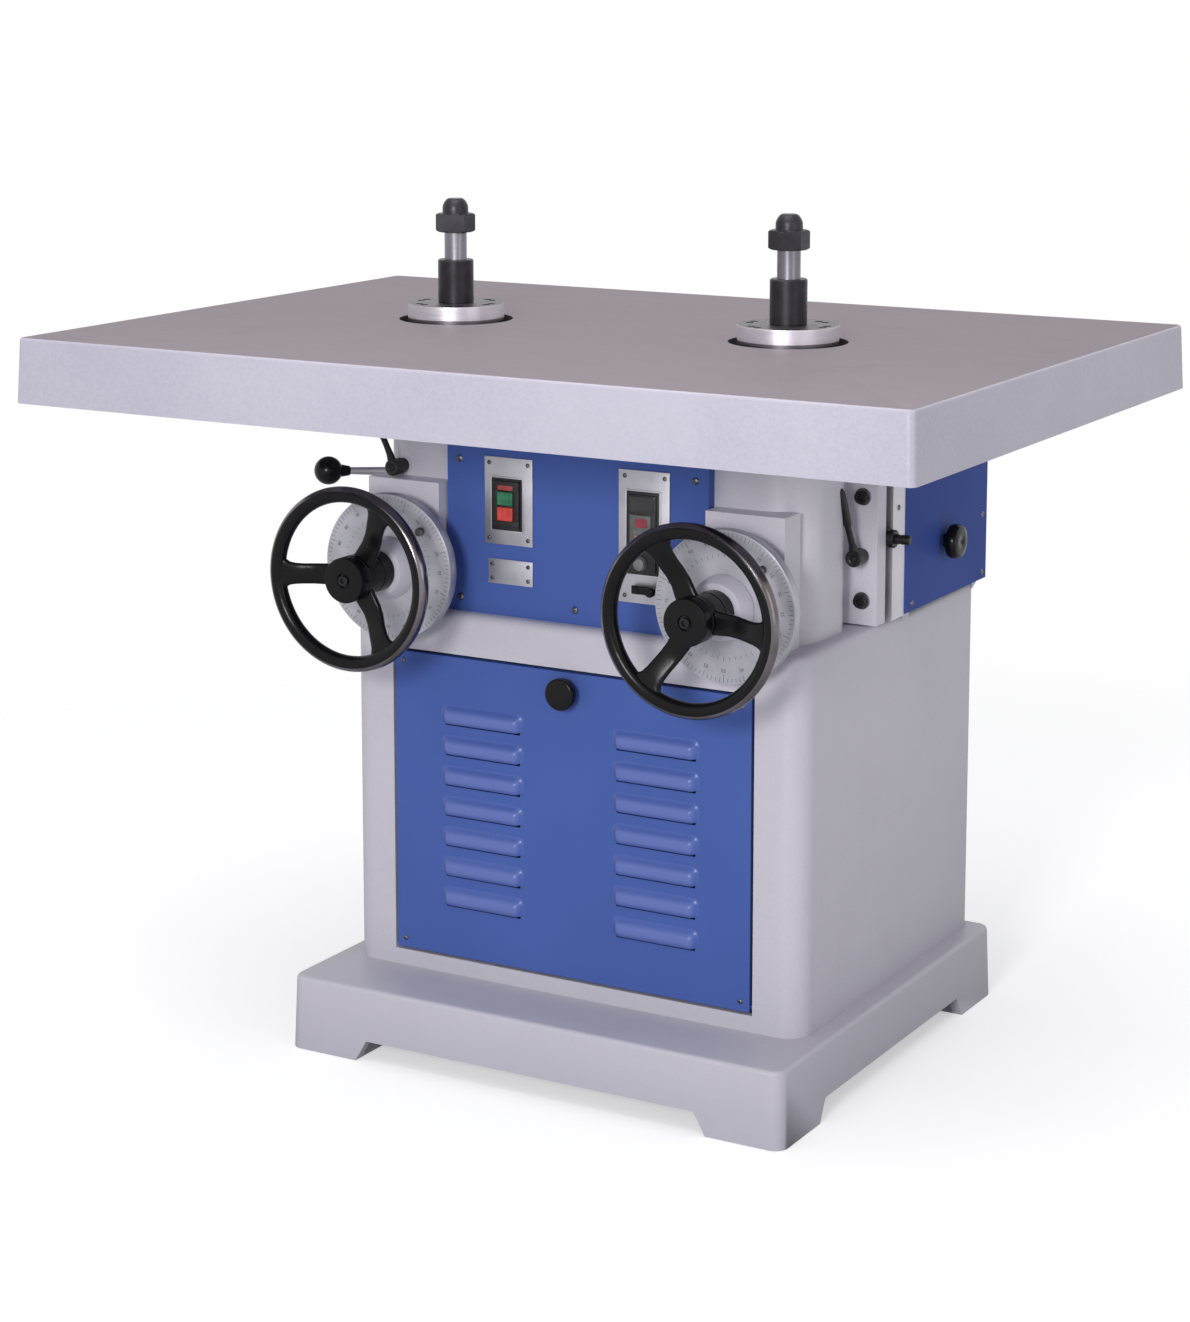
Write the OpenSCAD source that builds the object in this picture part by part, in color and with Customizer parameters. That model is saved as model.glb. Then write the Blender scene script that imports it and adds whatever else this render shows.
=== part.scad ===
/* [Table] */
// Length of the table from side to side
table_w = 1254; // [1200:2:1400]
// Depth of the table from front to back
table_d = 880; // [860:2:940]
// How far the table reaches in front of the base's middle
table_front = 554; // [540:1:570]
// Height of the working surface above the floor
table_h = 975; // [960:1:1010]
// Thickness of the table plate
table_t = 28; // [22:1:34]
// Height of the skirt
skirt_h = 85; // [80:1:95]
// Thickness of the skirt
skirt_t = 14; // [10:1:18]
// How far the skirt leans outward at its lower edge
table_flare = 3.5; // [1:0.5:6]
// Radius of the table's upright corners
table_corner_r = 9; // [5:1:14]
// Radius of the rounding along the top edge
table_edge_r = 4; // [2:0.5:6]
// Radius of the holes that the spindles rise through
table_hole_r = 77; // [72:1:84]
// Thickness of the ribs under the table
rib_t = 12; // [8:1:16]

/* [Base] */
// Width of the plinth
plinth_w = 736; // [720:2:780]
// Depth of the plinth
plinth_d = 670; // [666:2:720]
// Height of the plinth
plinth_h = 101; // [92:1:112]
// How far the plinth leans outward at the floor
plinth_flare = 3; // [1:0.5:6]
// Radius of the plinth's upright corners
plinth_corner_r = 18; // [12:1:26]
// Radius of the rounding along the plinth's top edge
plinth_edge_r = 6; // [3:1:9]
// Height of the gap between the feet
foot_gap_h = 29; // [20:1:40]
// Length of a foot along the front
foot_l = 104; // [90:1:120]
// Length of a foot along the side
foot_d = 107; // [90:1:120]
// How far the sides of the foot gap slope inward
foot_slope = 17; // [8:1:24]
// Radius of the threaded socket in each foot
socket_r = 7; // [5:0.5:9]
// Depth of the threaded socket in each foot
socket_depth = 60; // [40:1:70]
// Width of the cabinet
body_w = 680; // [672:2:700]
// How far the cabinet's front lies in front of the middle
body_front = 225; // [222:1:232]
// How far the cabinet's back lies behind the middle
body_back = 332; // [325:1:333]
// Height of the cabinet's top above the floor
body_h = 600; // [590:1:610]
// Thickness of the cabinet's walls
body_wall = 12; // [10:1:13]
// Radius of the cabinet's upright front corners
body_corner_r = 33; // [20:1:36]
// Radius of the rounding along the cabinet's top edge
body_edge_r = 12; // [6:1:14]

/* [Door] */
// Width of the front door
door_w = 536; // [500:2:550]
// Height of the door's lower edge above the floor
door_z0 = 127; // [122:1:135]
// Height of the front door
door_h = 413; // [390:1:420]
// Gap round the door
door_gap = 4; // [3:0.5:6]
// Thickness of the door's sheet
door_t = 3; // [2:0.5:4]
// Depth of the door's folded edges
door_fold = 18; // [14:1:22]
// Radius of the door's hinge pins
door_pin_r = 2.5; // [2:0.1:2.8]
// Number of louvre rows
louvre_rows = 7; // [5:1:7]
// Length of a louvre
louvre_l = 130; // [110:1:140]
// Height of a louvre
louvre_h = 32; // [24:1:34]
// Height from one louvre to the next
louvre_pitch = 41.8; // [38:0.2:46]
// How far a louvre stands out
louvre_out = 7; // [4:0.5:9]
// Distance of each louvre column's middle from the door's middle
louvre_x = 131; // [110:1:150]
// Radius of the door knob
door_knob_r = 21; // [16:0.5:25]
// Thickness of the door knob
door_knob_t = 12; // [8:1:16]

/* [Heads] */
// Distance of each spindle from the middle
spindle_x = 250; // [246:1:252]
// Distance of the spindles in front of the middle
spindle_front = 96; // [94:1:97]
// Thickness of a head's walls
head_wall = 12; // [10:0.5:12]
// Depth of the gear block in front of the head's wall
gear_block_d = 32; // [28:1:34]
// Height of the gear block
gear_block_h = 172; // [160:1:178]
// Thickness of the clamp ears
ear_t = 26; // [20:1:28]
// Width of the machined way
way_w = 48; // [44:1:49]
// Thickness of the machined way
way_t = 39; // [30:1:40]
// Width of the slot in which the carriage slides
slot_w = 22; // [18:0.5:23]
// Radius of the clamp bolts
clamp_bolt_r = 6; // [5:0.5:7]
// Radius of the clamp bolts' heads
clamp_head_r = 10.5; // [9:0.5:11]

/* [Spindles] */
// Radius of the arbor
arbor_r = 15; // [12.7:0.1:15]
// Radius of the ring that caps a sleeve
cap_r = 65; // [60:1:66]
// Thickness of the ring
cap_t = 19; // [14:1:22]
// Radius of the black collar on the arbor
collar_r = 24; // [22:0.5:28]
// Height of the collar
collar_h = 58; // [40:0.5:70]
// Free length of the arbor above the collar
arbor_free = 37; // [20:1:50]
// Width of the arbor nut across its flats
nut_af = 46; // [41:1:50]
// Height of the nut's hexagon
nut_h = 25; // [18:1:30]
// Height of the nut's dome
dome_h = 20; // [16:1:28]
// Radius of the nut's dome
dome_r = 17.5; // [16.5:0.5:20]
// Outer radius of a spindle sleeve
sleeve_r = 44; // [40:0.5:44]
// Radius of the spindle's pulley
pulley_r = 40; // [34:1:42]
// Radius of the motor's pulley
motor_pulley_r = 60; // [50:1:64]
// Height of the pulleys
pulley_h = 40; // [30:1:44]
// Thickness of the belt
belt_t = 4; // [3:0.5:6]
// Height of the belt
belt_h = 34; // [24:1:36]

/* [Handwheels] */
// Outer radius of a handwheel
wheel_r = 122; // [110:1:126]
// Radius of the rim's round section
rim_r = 10.5; // [9:0.5:12]
// Width of a spoke
spoke_w = 25; // [18:1:28]
// Radius of the wheel's hub
hub_r = 30; // [25:0.5:31]
// Radius of the graduated dial
dial_r = 98; // [96:1:112]
// Thickness of the dial's disc
dial_t = 16; // [10:1:18]
// Radius of the bearing boss in front of the dial
boss_r = 42; // [36:1:46]
// Radius of the handwheel shaft
shaft_r = 10; // [8:0.5:11]
// Height of the handwheel shaft above the cabinet
shaft_up = 62; // [60:1:66]
// Radius of the lift screw
lift_r = 8; // [7:0.25:8]
// Large radius of the bevel gears
bevel_r = 16; // [15:0.5:16]

/* [Panel and switches] */
// Width of the front panel
panel_w = 390; // [386:2:392]
// How far the panel's face lies in front of the middle
panel_front = 206; // [204:1:208]
// Thickness of the panel's sheet
panel_t = 4; // [2:0.5:5]
// Thickness of the switch plates
plate_t = 2; // [1:0.5:3]
// Width of the starter's frame
starter_w = 39.5; // [37:0.5:42]
// Height of the starter's frame
starter_h = 62; // [58:1:66]
// Width of a push button
button_w = 23; // [18:0.5:25]
// Height of a push button
button_h = 18; // [14:0.5:18.5]
// Travel of a push button
button_travel = 3; // [2:0.5:4]
// Height of the speed controller
controller_h = 100; // [90:1:104]

/* [Covers] */
// Thickness of the side covers' sheet
cover_t = 3; // [2:0.5:4]
// Radius of the mushroom knobs
knob_r = 23.5; // [18:0.5:26]
// How far the mushroom knobs stand out
knob_out = 32; // [26:1:38]
// Radius of the ball on the ball lever
ball_r = 19.5; // [15:0.5:22]

/* [Motors] */
// Radius of a motor's housing
motor_r = 70; // [60:1:70]
// Length of a motor's housing
motor_l = 180; // [160:1:200]
// Distance of the motors behind the middle
motor_back = 170; // [162:1:176]

/* [Hidden] */
$fn = 96;
// Radial play of a shaft that turns in its hole
run_play = 0.06;
// Play of a sliding or facing pair of flat faces
face_play = 0.3;
// Play round a screw in its hole
screw_play = 0.2;
// Overlap that makes joined shapes one solid, and cuts that run past a face
lap = 1;

// Heights
skirt_z = table_h - skirt_h;
pad_z = table_h - 70;
table_back = table_d - table_front;
axis_z = body_h + shaft_up;
cap_z = table_h + 3;
cap_top = cap_z + cap_t;
collar_z = cap_top + 0.5;
nut_z = collar_z + collar_h + arbor_free;
lift_down = 80;
lift_up = 20;
// Share by which heights on the heads follow the room between cabinet and table
rise = (pad_z - body_h) / 305;

// Head castings, seen from above, on the right-hand side
head_front = 190;
head_out = spindle_x + 69;
flank_r = 60;
flank_back_r = 33;
flank_back_y = -78;
head_flat = spindle_x - 90;
head_in = spindle_x - 69;
neck_half = spindle_x + 51;
slide_half = 62;
ear_back = -3;
ear_front = ear_back - ear_t;
ear_half = 98;
ear_z = body_h + 2;
slot_back = ear_back + slot_w;
way_back = slot_back + way_t;
clamp_out = 77;
clamp_in = 81;
clamp_z = [body_h + 34 * rise, body_h + 94 * rise, body_h + 171 * rise];
block_in = spindle_x - 51;
block_out = spindle_x + 60;
block_front = head_front + gear_block_d;
block_top = body_h + gear_block_h * rise;
head_flange_t = 30;

// Carriage, sleeve and lift
carriage_z0 = body_h + 40 * rise;
carriage_z1 = pad_z - 45;
saddle_r = sleeve_r + 10;
saddle_low = [body_h + 90 * rise, body_h + 130 * rise];
saddle_up = [pad_z - 115 * rise, pad_z - 80 * rise];
motor_pad_y = 64;
motor_pad_half = 45;
motor_pad_z = [body_h + 50 * rise, body_h + 160 * rise];
lift_y = -160;
journal_r = 6;
bracket_z = pad_z - 55;
bracket_t = 12;
shelf_t = 14;
bevel_w = 6;
bevel_play = 0.4;
pulley_z = body_h - 95;
motor_z = body_h - 10;
motor_tall = motor_l * rise;
motor_shaft_r = 12;

// Handwheel and dial, distances in front of the middle
rim_y = -360;
hub_front = -372;
hub_back = -292;
boss_front = hub_back + 0.5;
dial_front = -268;
bearing_flange_r = 50;
bearing_flange_y = -236;
dial_bore_r = 30;
spokes_right = -4;
spokes_left = 61;
// Side view of a spoke: distance from the axis, then distance along it
spoke_side = [[20, -348], [48, -346], [82, -361], [104, -364],
              [104, -355], [86, -351], [52, -336], [20, -338]];

// Door
door_face = body_front + 0.5;
door_tall = door_h * (body_h - plinth_h) / 499;
door_axis_y = -(body_front - 6);
door_axis_z = door_z0 + 6;
louvre_top = door_z0 + door_tall - 59;
door_knob_z = door_z0 + door_tall - 25;

// Panel and switches
panel_top = pad_z - 2;
starter_x = -101.25;
starter_z = body_h + 119 * rise;
starter_face = panel_front + 7;
start_z = starter_z + 30.5;
stop_z = starter_z + 10;
controller_x = 102;
controller_w = 40;
controller_z = body_h + 81 * rise;
plate_top = controller_z + controller_h + 31;
left_plate = [-136, -63, starter_z - 23];
right_plate = [66, 140, controller_z - 42];
blank_plate = [-131, -63, starter_z - 76, starter_z - 43];
switch_depth = 46;
dial_knob_z = controller_z + 11;
lever_z = controller_z - 23.5;
lever_x = 94;
panel_screws = [[-176, 19], [0, 19], [176, 19], [-176, 205 * rise], [176, 205 * rise]];

// Covers
cover_out = spindle_x + 99;
cover_front = way_back + face_play;
cover_back = body_back + 2;
cover_z = body_h + 2;
cover_top = skirt_z - 2;
lug_y = [81, 318];
knob_y = 189;
knob_z = body_h + 79 * rise;
rear_w = 510;
rear_z0 = plinth_h + 34;
rear_h = body_h - rear_z0 - 35;
gland_x = 290;
gland_z = plinth_h + 44;
lever_hub_r = 11;
ball_lever_y = -96;
ball_lever_z = body_h + 157 * rise;
flat_lever_x = spindle_x + 24;
flat_seat = 1.5;
flat_seat_r = lever_hub_r + 1;
flat_lever_z = block_top + flat_seat_r + 2;
plunger_y = (ear_back + slot_back) / 2;
plunger_z = clamp_z[1] + clamp_bolt_r + 12;

// Box between two corners
module block(x0, x1, y0, y1, z0, z1) {
    translate([x0, y0, z0]) cube([x1 - x0, y1 - y0, z1 - z0]);
}

// Round bar along X, Y or Z from one coordinate to another
module bar_x(r, x0, x1, y, z) {
    translate([x0, y, z]) rotate([0, 90, 0]) cylinder(r = r, h = x1 - x0);
}
module bar_y(r, y0, y1, x, z) {
    translate([x, y0, z]) rotate([-90, 0, 0]) cylinder(r = r, h = y1 - y0);
}
module bar_z(r, z0, z1, x, y) {
    translate([x, y, z0]) cylinder(r = r, h = z1 - z0);
}

// Tapered round bar between two points
module taper(p, q, rp, rq) {
    d = q - p;
    l = norm(d);
    translate(p) rotate([0, acos(d.z / l), atan2(d.y, d.x)]) cylinder(h = l, r1 = rp, r2 = rq);
}

// Flat rectangle with round corners, centred on X, from y0 to y1
module round_rect(w, y0, y1, r) {
    translate([-w / 2 + r, y0]) square([w - 2 * r, y1 - y0]);
    translate([-w / 2, y0 + r]) square([w, y1 - y0 - 2 * r]);
    for (x = [-w / 2 + r, w / 2 - r])
        for (y = [y0 + r, y1 - r])
            translate([x, y]) circle(r = r);
}

// Block with round upright corners, a lean at the foot and a rounded top edge
module cast_block(w, y0, y1, z0, z1, corner_r, edge_r, flare) {
    skin = 0.02;
    hull() {
        translate([0, 0, z0])
            linear_extrude(skin) round_rect(w + 2 * flare, y0 - flare, y1 + flare, corner_r, $fn = 32);
        for (a = [0 : 22.5 : 90])
            let (inset = edge_r * (1 - cos(a)))
                translate([0, 0, z1 - edge_r + edge_r * sin(a) - skin])
                    linear_extrude(skin)
                        round_rect(w - 2 * inset, y0 + inset, y1 - inset, corner_r - inset, $fn = 32);
    }
}

// What is drawn for the right-hand side, mirrored where the side is the left one
module on_side(side) {
    mirror([side < 0 ? 1 : 0, 0, 0]) children();
}

// Openings in the cabinet's top that sleeve, carriage and motor pass through
module deck_windows() {
    z0 = body_h - body_wall - lap;
    z1 = body_h + lap;
    half = saddle_r - 2;
    block(spindle_x - half, spindle_x + half, lift_y - 5, ear_back + lap, z0, z1);
    block(spindle_x - slide_half - 4, spindle_x + slide_half + 4, ear_back, slot_back, z0, z1);
    block(spindle_x - motor_pad_half - 2, spindle_x + motor_pad_half + 2,
          slot_back - lap, motor_pad_y, z0, z1);
    block(spindle_x - motor_r - 4, spindle_x + motor_r + 4, motor_pad_y - lap, motor_back + motor_r + 30, z0, z1);
}

// Plinth with four feet and the cabinet on it, one painted casting
module base() {
    pocket_x = plinth_w / 2 - body_wall;
    pocket_y = plinth_d / 2 - body_wall;
    color("#c4c2cc")
    difference() {
        union() {
            cast_block(plinth_w, -plinth_d / 2, plinth_d / 2, 0, plinth_h,
                       plinth_corner_r, plinth_edge_r, plinth_flare);
            cast_block(body_w, -body_front, body_back, plinth_h - lap, body_h, body_corner_r, body_edge_r, 0);
            for (side = [-1, 1])
                on_side(side)
                    for (y = lug_y)
                        block(body_w / 2 - 14, cover_out - cover_t, y - 11, y + 11, body_h - 13, body_h + 22);
            block(-20, 20, -(panel_front - panel_t), -head_front, body_h - lap, body_h + 35);
        }
        // Room inside the cabinet
        block(-body_w / 2 + body_wall, body_w / 2 - body_wall, -body_front + body_wall,
              body_back - body_wall, plinth_h, body_h - body_wall);
        // Hollow of the plinth, which leaves the four feet solid
        difference() {
            block(-pocket_x, pocket_x, -pocket_y, pocket_y, -lap, plinth_h - body_wall);
            for (x = [-1, 1])
                for (y = [-1, 1])
                    translate([x * (plinth_w - foot_l) / 2, y * (plinth_d - foot_d) / 2, plinth_h / 2])
                        cube([foot_l, foot_d, 2 * plinth_h], center = true);
        }
        // Gaps between the feet
        rotate([90, 0, 0])
            linear_extrude(plinth_d + 40, center = true)
                foot_gap(plinth_w / 2 - foot_l);
        rotate([90, 0, 90])
            linear_extrude(plinth_w + 40, center = true)
                foot_gap(plinth_d / 2 - foot_d);
        // Door opening and the holes for the door's pins
        block(-door_w / 2 - door_gap, door_w / 2 + door_gap, -body_front - lap, -body_front + body_wall + lap,
              door_z0 - door_gap, door_z0 + door_tall + door_gap);
        bar_x(door_pin_r + run_play, -door_w / 2 - 18, door_w / 2 + 18, door_axis_y, door_axis_z);
        // Opening behind the lower back cover
        block(-rear_w / 2 + 15, rear_w / 2 - 15, body_back - body_wall - lap, body_back + lap,
              rear_z0 + 15, rear_z0 + rear_h - 15);
        bar_y(10 + screw_play, body_back - body_wall - lap, body_back + lap, gland_x, gland_z);
        for (side = [-1, 1])
            on_side(side) {
                deck_windows();
                for (y = lug_y)
                    bar_x(2.5 + screw_play, cover_out - cover_t - 12, cover_out, y, body_h + 12);
            }
        bar_y(2.5 + screw_play, -panel_front, -head_front - 2, 0, body_h + panel_screws[1][1]);
        for (x = [-1, 1])
            for (y = [-1, 1])
                bar_z(socket_r, -lap, socket_depth, x * (plinth_w - foot_l) / 2, y * (plinth_d - foot_d) / 2);
    }
}

// Outline of the gap between two feet, wide at the floor
module foot_gap(half) {
    polygon([[-half - foot_slope / foot_gap_h, -lap], [-half + foot_slope, foot_gap_h],
             [half - foot_slope, foot_gap_h], [half + foot_slope / foot_gap_h, -lap]]);
}

// Upright machined ways behind the carriages, tied together under the table
module way_frames() {
    color("#8f8e92")
    for (side = [-1, 1])
        on_side(side)
            difference() {
                union() {
                    for (x = [spindle_x - ear_half, spindle_x + ear_half - way_w])
                        block(x, x + way_w, slot_back, way_back, body_h, pad_z);
                    block(spindle_x - ear_half, spindle_x + ear_half, slot_back, way_back, pad_z - 20, pad_z);
                }
                for (x = [spindle_x - clamp_in, spindle_x + clamp_out])
                    for (z = clamp_z)
                        bar_y(clamp_bolt_r + screw_play, slot_back - lap, slot_back + 28, x, z);
                bar_x(2.5 + screw_play, spindle_x + ear_half - 12, spindle_x + ear_half + lap, 37, body_h + 148 * rise);
            }
}

// Outline of a head casting from above, drawn in by an inset
module head_outline(inset) {
    flat_x = head_out - flank_r;
    flank_y = flank_r - head_front;
    translate([head_in + inset, -head_front + inset])
        square([flat_x - head_in - inset, head_front + ear_front - inset + lap]);
    intersection() {
        translate([flat_x, flank_y]) circle(r = flank_r - inset);
        translate([flat_x - lap, flank_y - flank_r]) square([flank_r + lap, flank_r + lap]);
    }
    translate([flat_x - lap, flank_y])
        square([flank_r + lap - inset, flank_back_y - flank_y]);
    translate([head_out - flank_back_r, flank_back_y]) circle(r = flank_back_r - inset);
    translate([flat_x - lap, flank_back_y])
        square([neck_half - inset - flat_x + lap, ear_front - flank_back_y + lap]);
}

// Head casting: gear block, curved flank, clamp ears and the flange under the table
module head() {
    difference() {
        union() {
            translate([0, 0, body_h]) linear_extrude(pad_z - body_h) head_outline(0);
            block(head_flat, spindle_x, -head_front, -head_front + head_wall, body_h, pad_z);
            block(block_in, block_out, -block_front, -head_front + head_wall, body_h, block_top);
            block(spindle_x - ear_half, spindle_x + ear_half, ear_front, ear_back, ear_z, pad_z);
            block(spindle_x - ear_half + 3, spindle_x + ear_half - 3, -head_front, ear_front + lap,
                  pad_z - head_flange_t, pad_z);
        }
        // Room for sleeve and carriage
        difference() {
            translate([0, 0, body_h - lap]) linear_extrude(pad_z - body_h + lap - head_flange_t)
                head_outline(head_wall);
            block(spindle_x - 20, spindle_x + 20, -head_front, lift_y + 9, body_h - lap, body_h + shelf_t);
            block(spindle_x - 16, spindle_x + 16, -head_front, lift_y + 9, bracket_z, bracket_z + bracket_t);
        }
        block(spindle_x - 39, spindle_x + 39, ear_front - lap, ear_back + lap, body_h - lap, pad_z + lap);
        block(spindle_x - 39, spindle_x + 39, -spindle_front, ear_front, pad_z - head_flange_t - lap, pad_z + lap);
        bar_z(cap_r + 3, pad_z - head_flange_t - lap, pad_z + lap, spindle_x, -spindle_front);
        // Room in the gear block
        block(block_in + head_wall, block_out - head_wall, -block_front + head_wall, -head_front + head_wall + lap,
              body_h + shelf_t, block_top - head_wall);
        bar_y(shaft_r + 15, -block_front - lap, -block_front + head_wall + lap, spindle_x, axis_z);
        bar_z(journal_r + run_play, body_h - lap, body_h + shelf_t + lap, spindle_x, lift_y);
        bar_z(journal_r + run_play, bracket_z - lap, bracket_z + bracket_t + lap, spindle_x, lift_y);
        for (x = [spindle_x - clamp_in, spindle_x + clamp_out])
            for (z = clamp_z)
                bar_y(clamp_bolt_r + screw_play, ear_front - lap, ear_back + lap, x, z);
        for (x = [spindle_x - 85, spindle_x + 85])
            for (y = [-160, -60])
                bar_z(5 + screw_play, pad_z - head_flange_t - lap, pad_z + lap, x, y);
    }
}

module head_left() {
    color("#c4c2cc")
    on_side(-1)
        difference() {
            union() {
                head();
                bar_y(flat_seat_r, -head_front - flat_seat, -head_front + head_wall - 2, flat_lever_x, flat_lever_z);
            }
            bar_y(clamp_bolt_r + screw_play, -head_front - flat_seat - lap, -head_front + head_wall + 4,
                  flat_lever_x, flat_lever_z);
            bar_x(clamp_bolt_r + screw_play, head_out - head_wall - lap, head_out + lap,
                  ball_lever_y, ball_lever_z);
        }
}

module head_right() {
    color("#c4c2cc")
    on_side(1) head();
}

// Cap bolt of a clamp ear, pointing to the back
module clamp_bolt(x, z) {
    bar_y(clamp_head_r, ear_front - 11, ear_front, x, z);
    bar_y(clamp_bolt_r, ear_front - lap, slot_back + 27, x, z);
}

// Cap bolts that pull the ears against the ways
module clamp_bolts() {
    color("#77757c")
    for (side = [-1, 1])
        on_side(side) {
            for (z = clamp_z)
                clamp_bolt(spindle_x - clamp_in, z);
            for (i = [0, 1, 2])
                if (side < 0 || i != 1)
                    clamp_bolt(spindle_x + clamp_out, clamp_z[i]);
        }
}

// Bolts that hold the table down on the heads
module table_bolts() {
    color("#77757c")
    for (side = [-1, 1])
        on_side(side)
            for (x = [spindle_x - 85, spindle_x + 85])
                for (y = [-160, -60]) {
                    bar_z(8, pad_z - head_flange_t - 10, pad_z - head_flange_t, x, y);
                    bar_z(5, pad_z - head_flange_t - lap, pad_z + 20, x, y);
                }
}

// Cast table: plate, skirt, ribs, pads over the heads and the two spindle holes
module table() {
    under = table_h - table_t;
    color("#a9a5ad")
    difference() {
        union() {
            difference() {
                cast_block(table_w, -table_front, table_back, skirt_z, table_h,
                           table_corner_r, table_edge_r, table_flare);
                block(-table_w / 2 + skirt_t, table_w / 2 - skirt_t, -table_front + skirt_t,
                      table_back - skirt_t, skirt_z - lap, under);
            }
            for (side = [-1, 1])
                on_side(side) {
                    block(spindle_x - ear_half - 2, spindle_x + ear_half + 2, -head_front - 2, way_back + 2,
                          pad_z, under + lap);
                    block(spindle_x + ear_half + 4, spindle_x + ear_half + 4 + rib_t,
                          -table_front + skirt_t - lap, table_back - skirt_t + lap, pad_z, under + lap);
                }
        }
        for (side = [-1, 1])
            on_side(side) {
                bar_z(table_hole_r, pad_z - lap, table_h + lap, spindle_x, -spindle_front);
                block(spindle_x - slide_half - 4, spindle_x + slide_half + 4, ear_back - lap, slot_back + lap,
                      pad_z - lap, pad_z + 12);
                for (x = [spindle_x - 85, spindle_x + 85])
                    for (y = [-160, -60])
                        bar_z(5 + screw_play, pad_z - lap, pad_z + 22, x, y);
            }
    }
}

// Front door: pressed sheet with folded edges, hinge pins at its foot, and louvres
module front_door() {
    color("#3f58a5")
    difference() {
        union() {
            difference() {
                block(-door_w / 2, door_w / 2, -door_face, -door_face + door_fold, door_z0, door_z0 + door_tall);
                block(-door_w / 2 + door_t, door_w / 2 - door_t, -door_face + door_t, -door_face + door_fold + lap,
                      door_z0 + door_t, door_z0 + door_tall - door_t);
            }
            for (s = [-1, 1]) {
                x = s * (door_w / 2 + 6);
                bar_x(door_pin_r, x - 10, x + 10, door_axis_y, door_axis_z);
            }
            louvres(0, door_t);
        }
        louvres(1.5, door_t + lap);
        for (x = [-door_w / 2 + 13, door_w / 2 - 13])
            for (z = [door_z0 + 13, door_z0 + door_tall - 13])
                bar_y(2.5 + screw_play, -door_face - lap, -door_face + door_t + lap, x, z);
        bar_y(5 + screw_play, -door_face - lap, -door_face + door_t + lap, 0, door_knob_z);
    }
}

// Hoods of the louvres, open below, thinned by a wall
module louvres(wall, back) {
    for (s = [-1, 1])
        for (i = [0 : louvre_rows - 1])
            translate([s * louvre_x, -door_face, louvre_top - i * louvre_pitch])
                rotate([90, 0, 90])
                    linear_extrude(louvre_l - 2 * wall, center = true)
                        polygon([[back, -wall * 4], [0, -wall * 4], [-louvre_out + wall, -louvre_h * 0.6],
                                 [-louvre_out + wall, -louvre_h - (wall > 0 ? lap : 0)],
                                 [0, -louvre_h - (wall > 0 ? lap : 0)], [0, -louvre_h], [back, -louvre_h]]);
}

// Pull knob of the front door
module door_knob() {
    color("#262628") {
        bar_y(door_knob_r, -door_face - 12 - door_knob_t, -door_face - 12, 0, door_knob_z);
        bar_y(7, -door_face - 12 - lap, -door_face, 0, door_knob_z);
        bar_y(5, -door_face - lap, -door_face + door_t + 6, 0, door_knob_z);
    }
}

// Screw heads near the corners of the door
module door_screws() {
    color("#b9b9bd")
    for (x = [-door_w / 2 + 13, door_w / 2 - 13])
        for (z = [door_z0 + 13, door_z0 + door_tall - 13]) {
            bar_y(4.5, -door_face - 2, -door_face, x, z);
            bar_y(2.5, -door_face - lap, -door_face + door_t + 4, x, z);
        }
}

// Back covers: one on the cabinet, one between the side covers
module rear_covers() {
    color("#3f58a5") {
        block(-rear_w / 2, rear_w / 2, body_back, body_back + cover_t, rear_z0, rear_z0 + rear_h);
        block(-spindle_x - 50, spindle_x + 50, cover_back, cover_back + cover_t, cover_z, cover_top);
    }
}

// Screws of the covers, the front panel and the ways
module cover_screws() {
    color("#b9b9bd") {
        for (side = [-1, 1])
            on_side(side) {
                for (y = lug_y) {
                    bar_x(4.5, cover_out, cover_out + 2, y, body_h + 12);
                    bar_x(2.5, cover_out - 10, cover_out + lap, y, body_h + 12);
                }
                bar_x(4, spindle_x + ear_half, spindle_x + ear_half + 1.5, 37, body_h + 148 * rise);
                bar_x(2.5, spindle_x + ear_half - 10, spindle_x + ear_half + lap, 37, body_h + 148 * rise);
                for (z = [cover_z + 40, (cover_z + cover_top) / 2, cover_top - 40])
                    bar_y(4.5, cover_back + cover_t, cover_back + cover_t + 2, spindle_x + 42, z);
                for (z = [rear_z0 + 8, rear_z0 + rear_h / 2, rear_z0 + rear_h - 8])
                    bar_y(4, body_back + cover_t, body_back + cover_t + 2, rear_w / 2 - 8, z);
            }
        for (p = panel_screws) {
            bar_y(5, -panel_front - 2, -panel_front, p[0], body_h + p[1]);
            bar_y(2.5, -panel_front - lap, -head_front - 3, p[0], body_h + p[1]);
        }
    }
}

// Blue sheet box between the heads
module front_panel() {
    half = panel_w / 2;
    color("#3f58a5")
    difference() {
        block(-half, half, -panel_front, -head_front, body_h, panel_top);
        block(-half + panel_t, half - panel_t, -panel_front + panel_t, -head_front + lap,
              body_h - lap, panel_top - panel_t);
        block(starter_x - starter_w / 2 - 0.5, starter_x + starter_w / 2 + 0.5,
              -panel_front - lap, -panel_front + panel_t + lap, starter_z - 0.5, starter_z + starter_h + 0.5);
        block(controller_x - controller_w / 2 - 0.5, controller_x + controller_w / 2 + 0.5,
              -panel_front - lap, -panel_front + panel_t + lap,
              controller_z - 0.5, controller_z + controller_h + 0.5);
        bar_y(6, -panel_front - lap, -panel_front + panel_t + lap, lever_x, lever_z);
        for (p = panel_screws)
            bar_y(2.5 + screw_play, -panel_front - lap, -panel_front + panel_t + lap, p[0], body_h + p[1]);
    }
}

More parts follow.
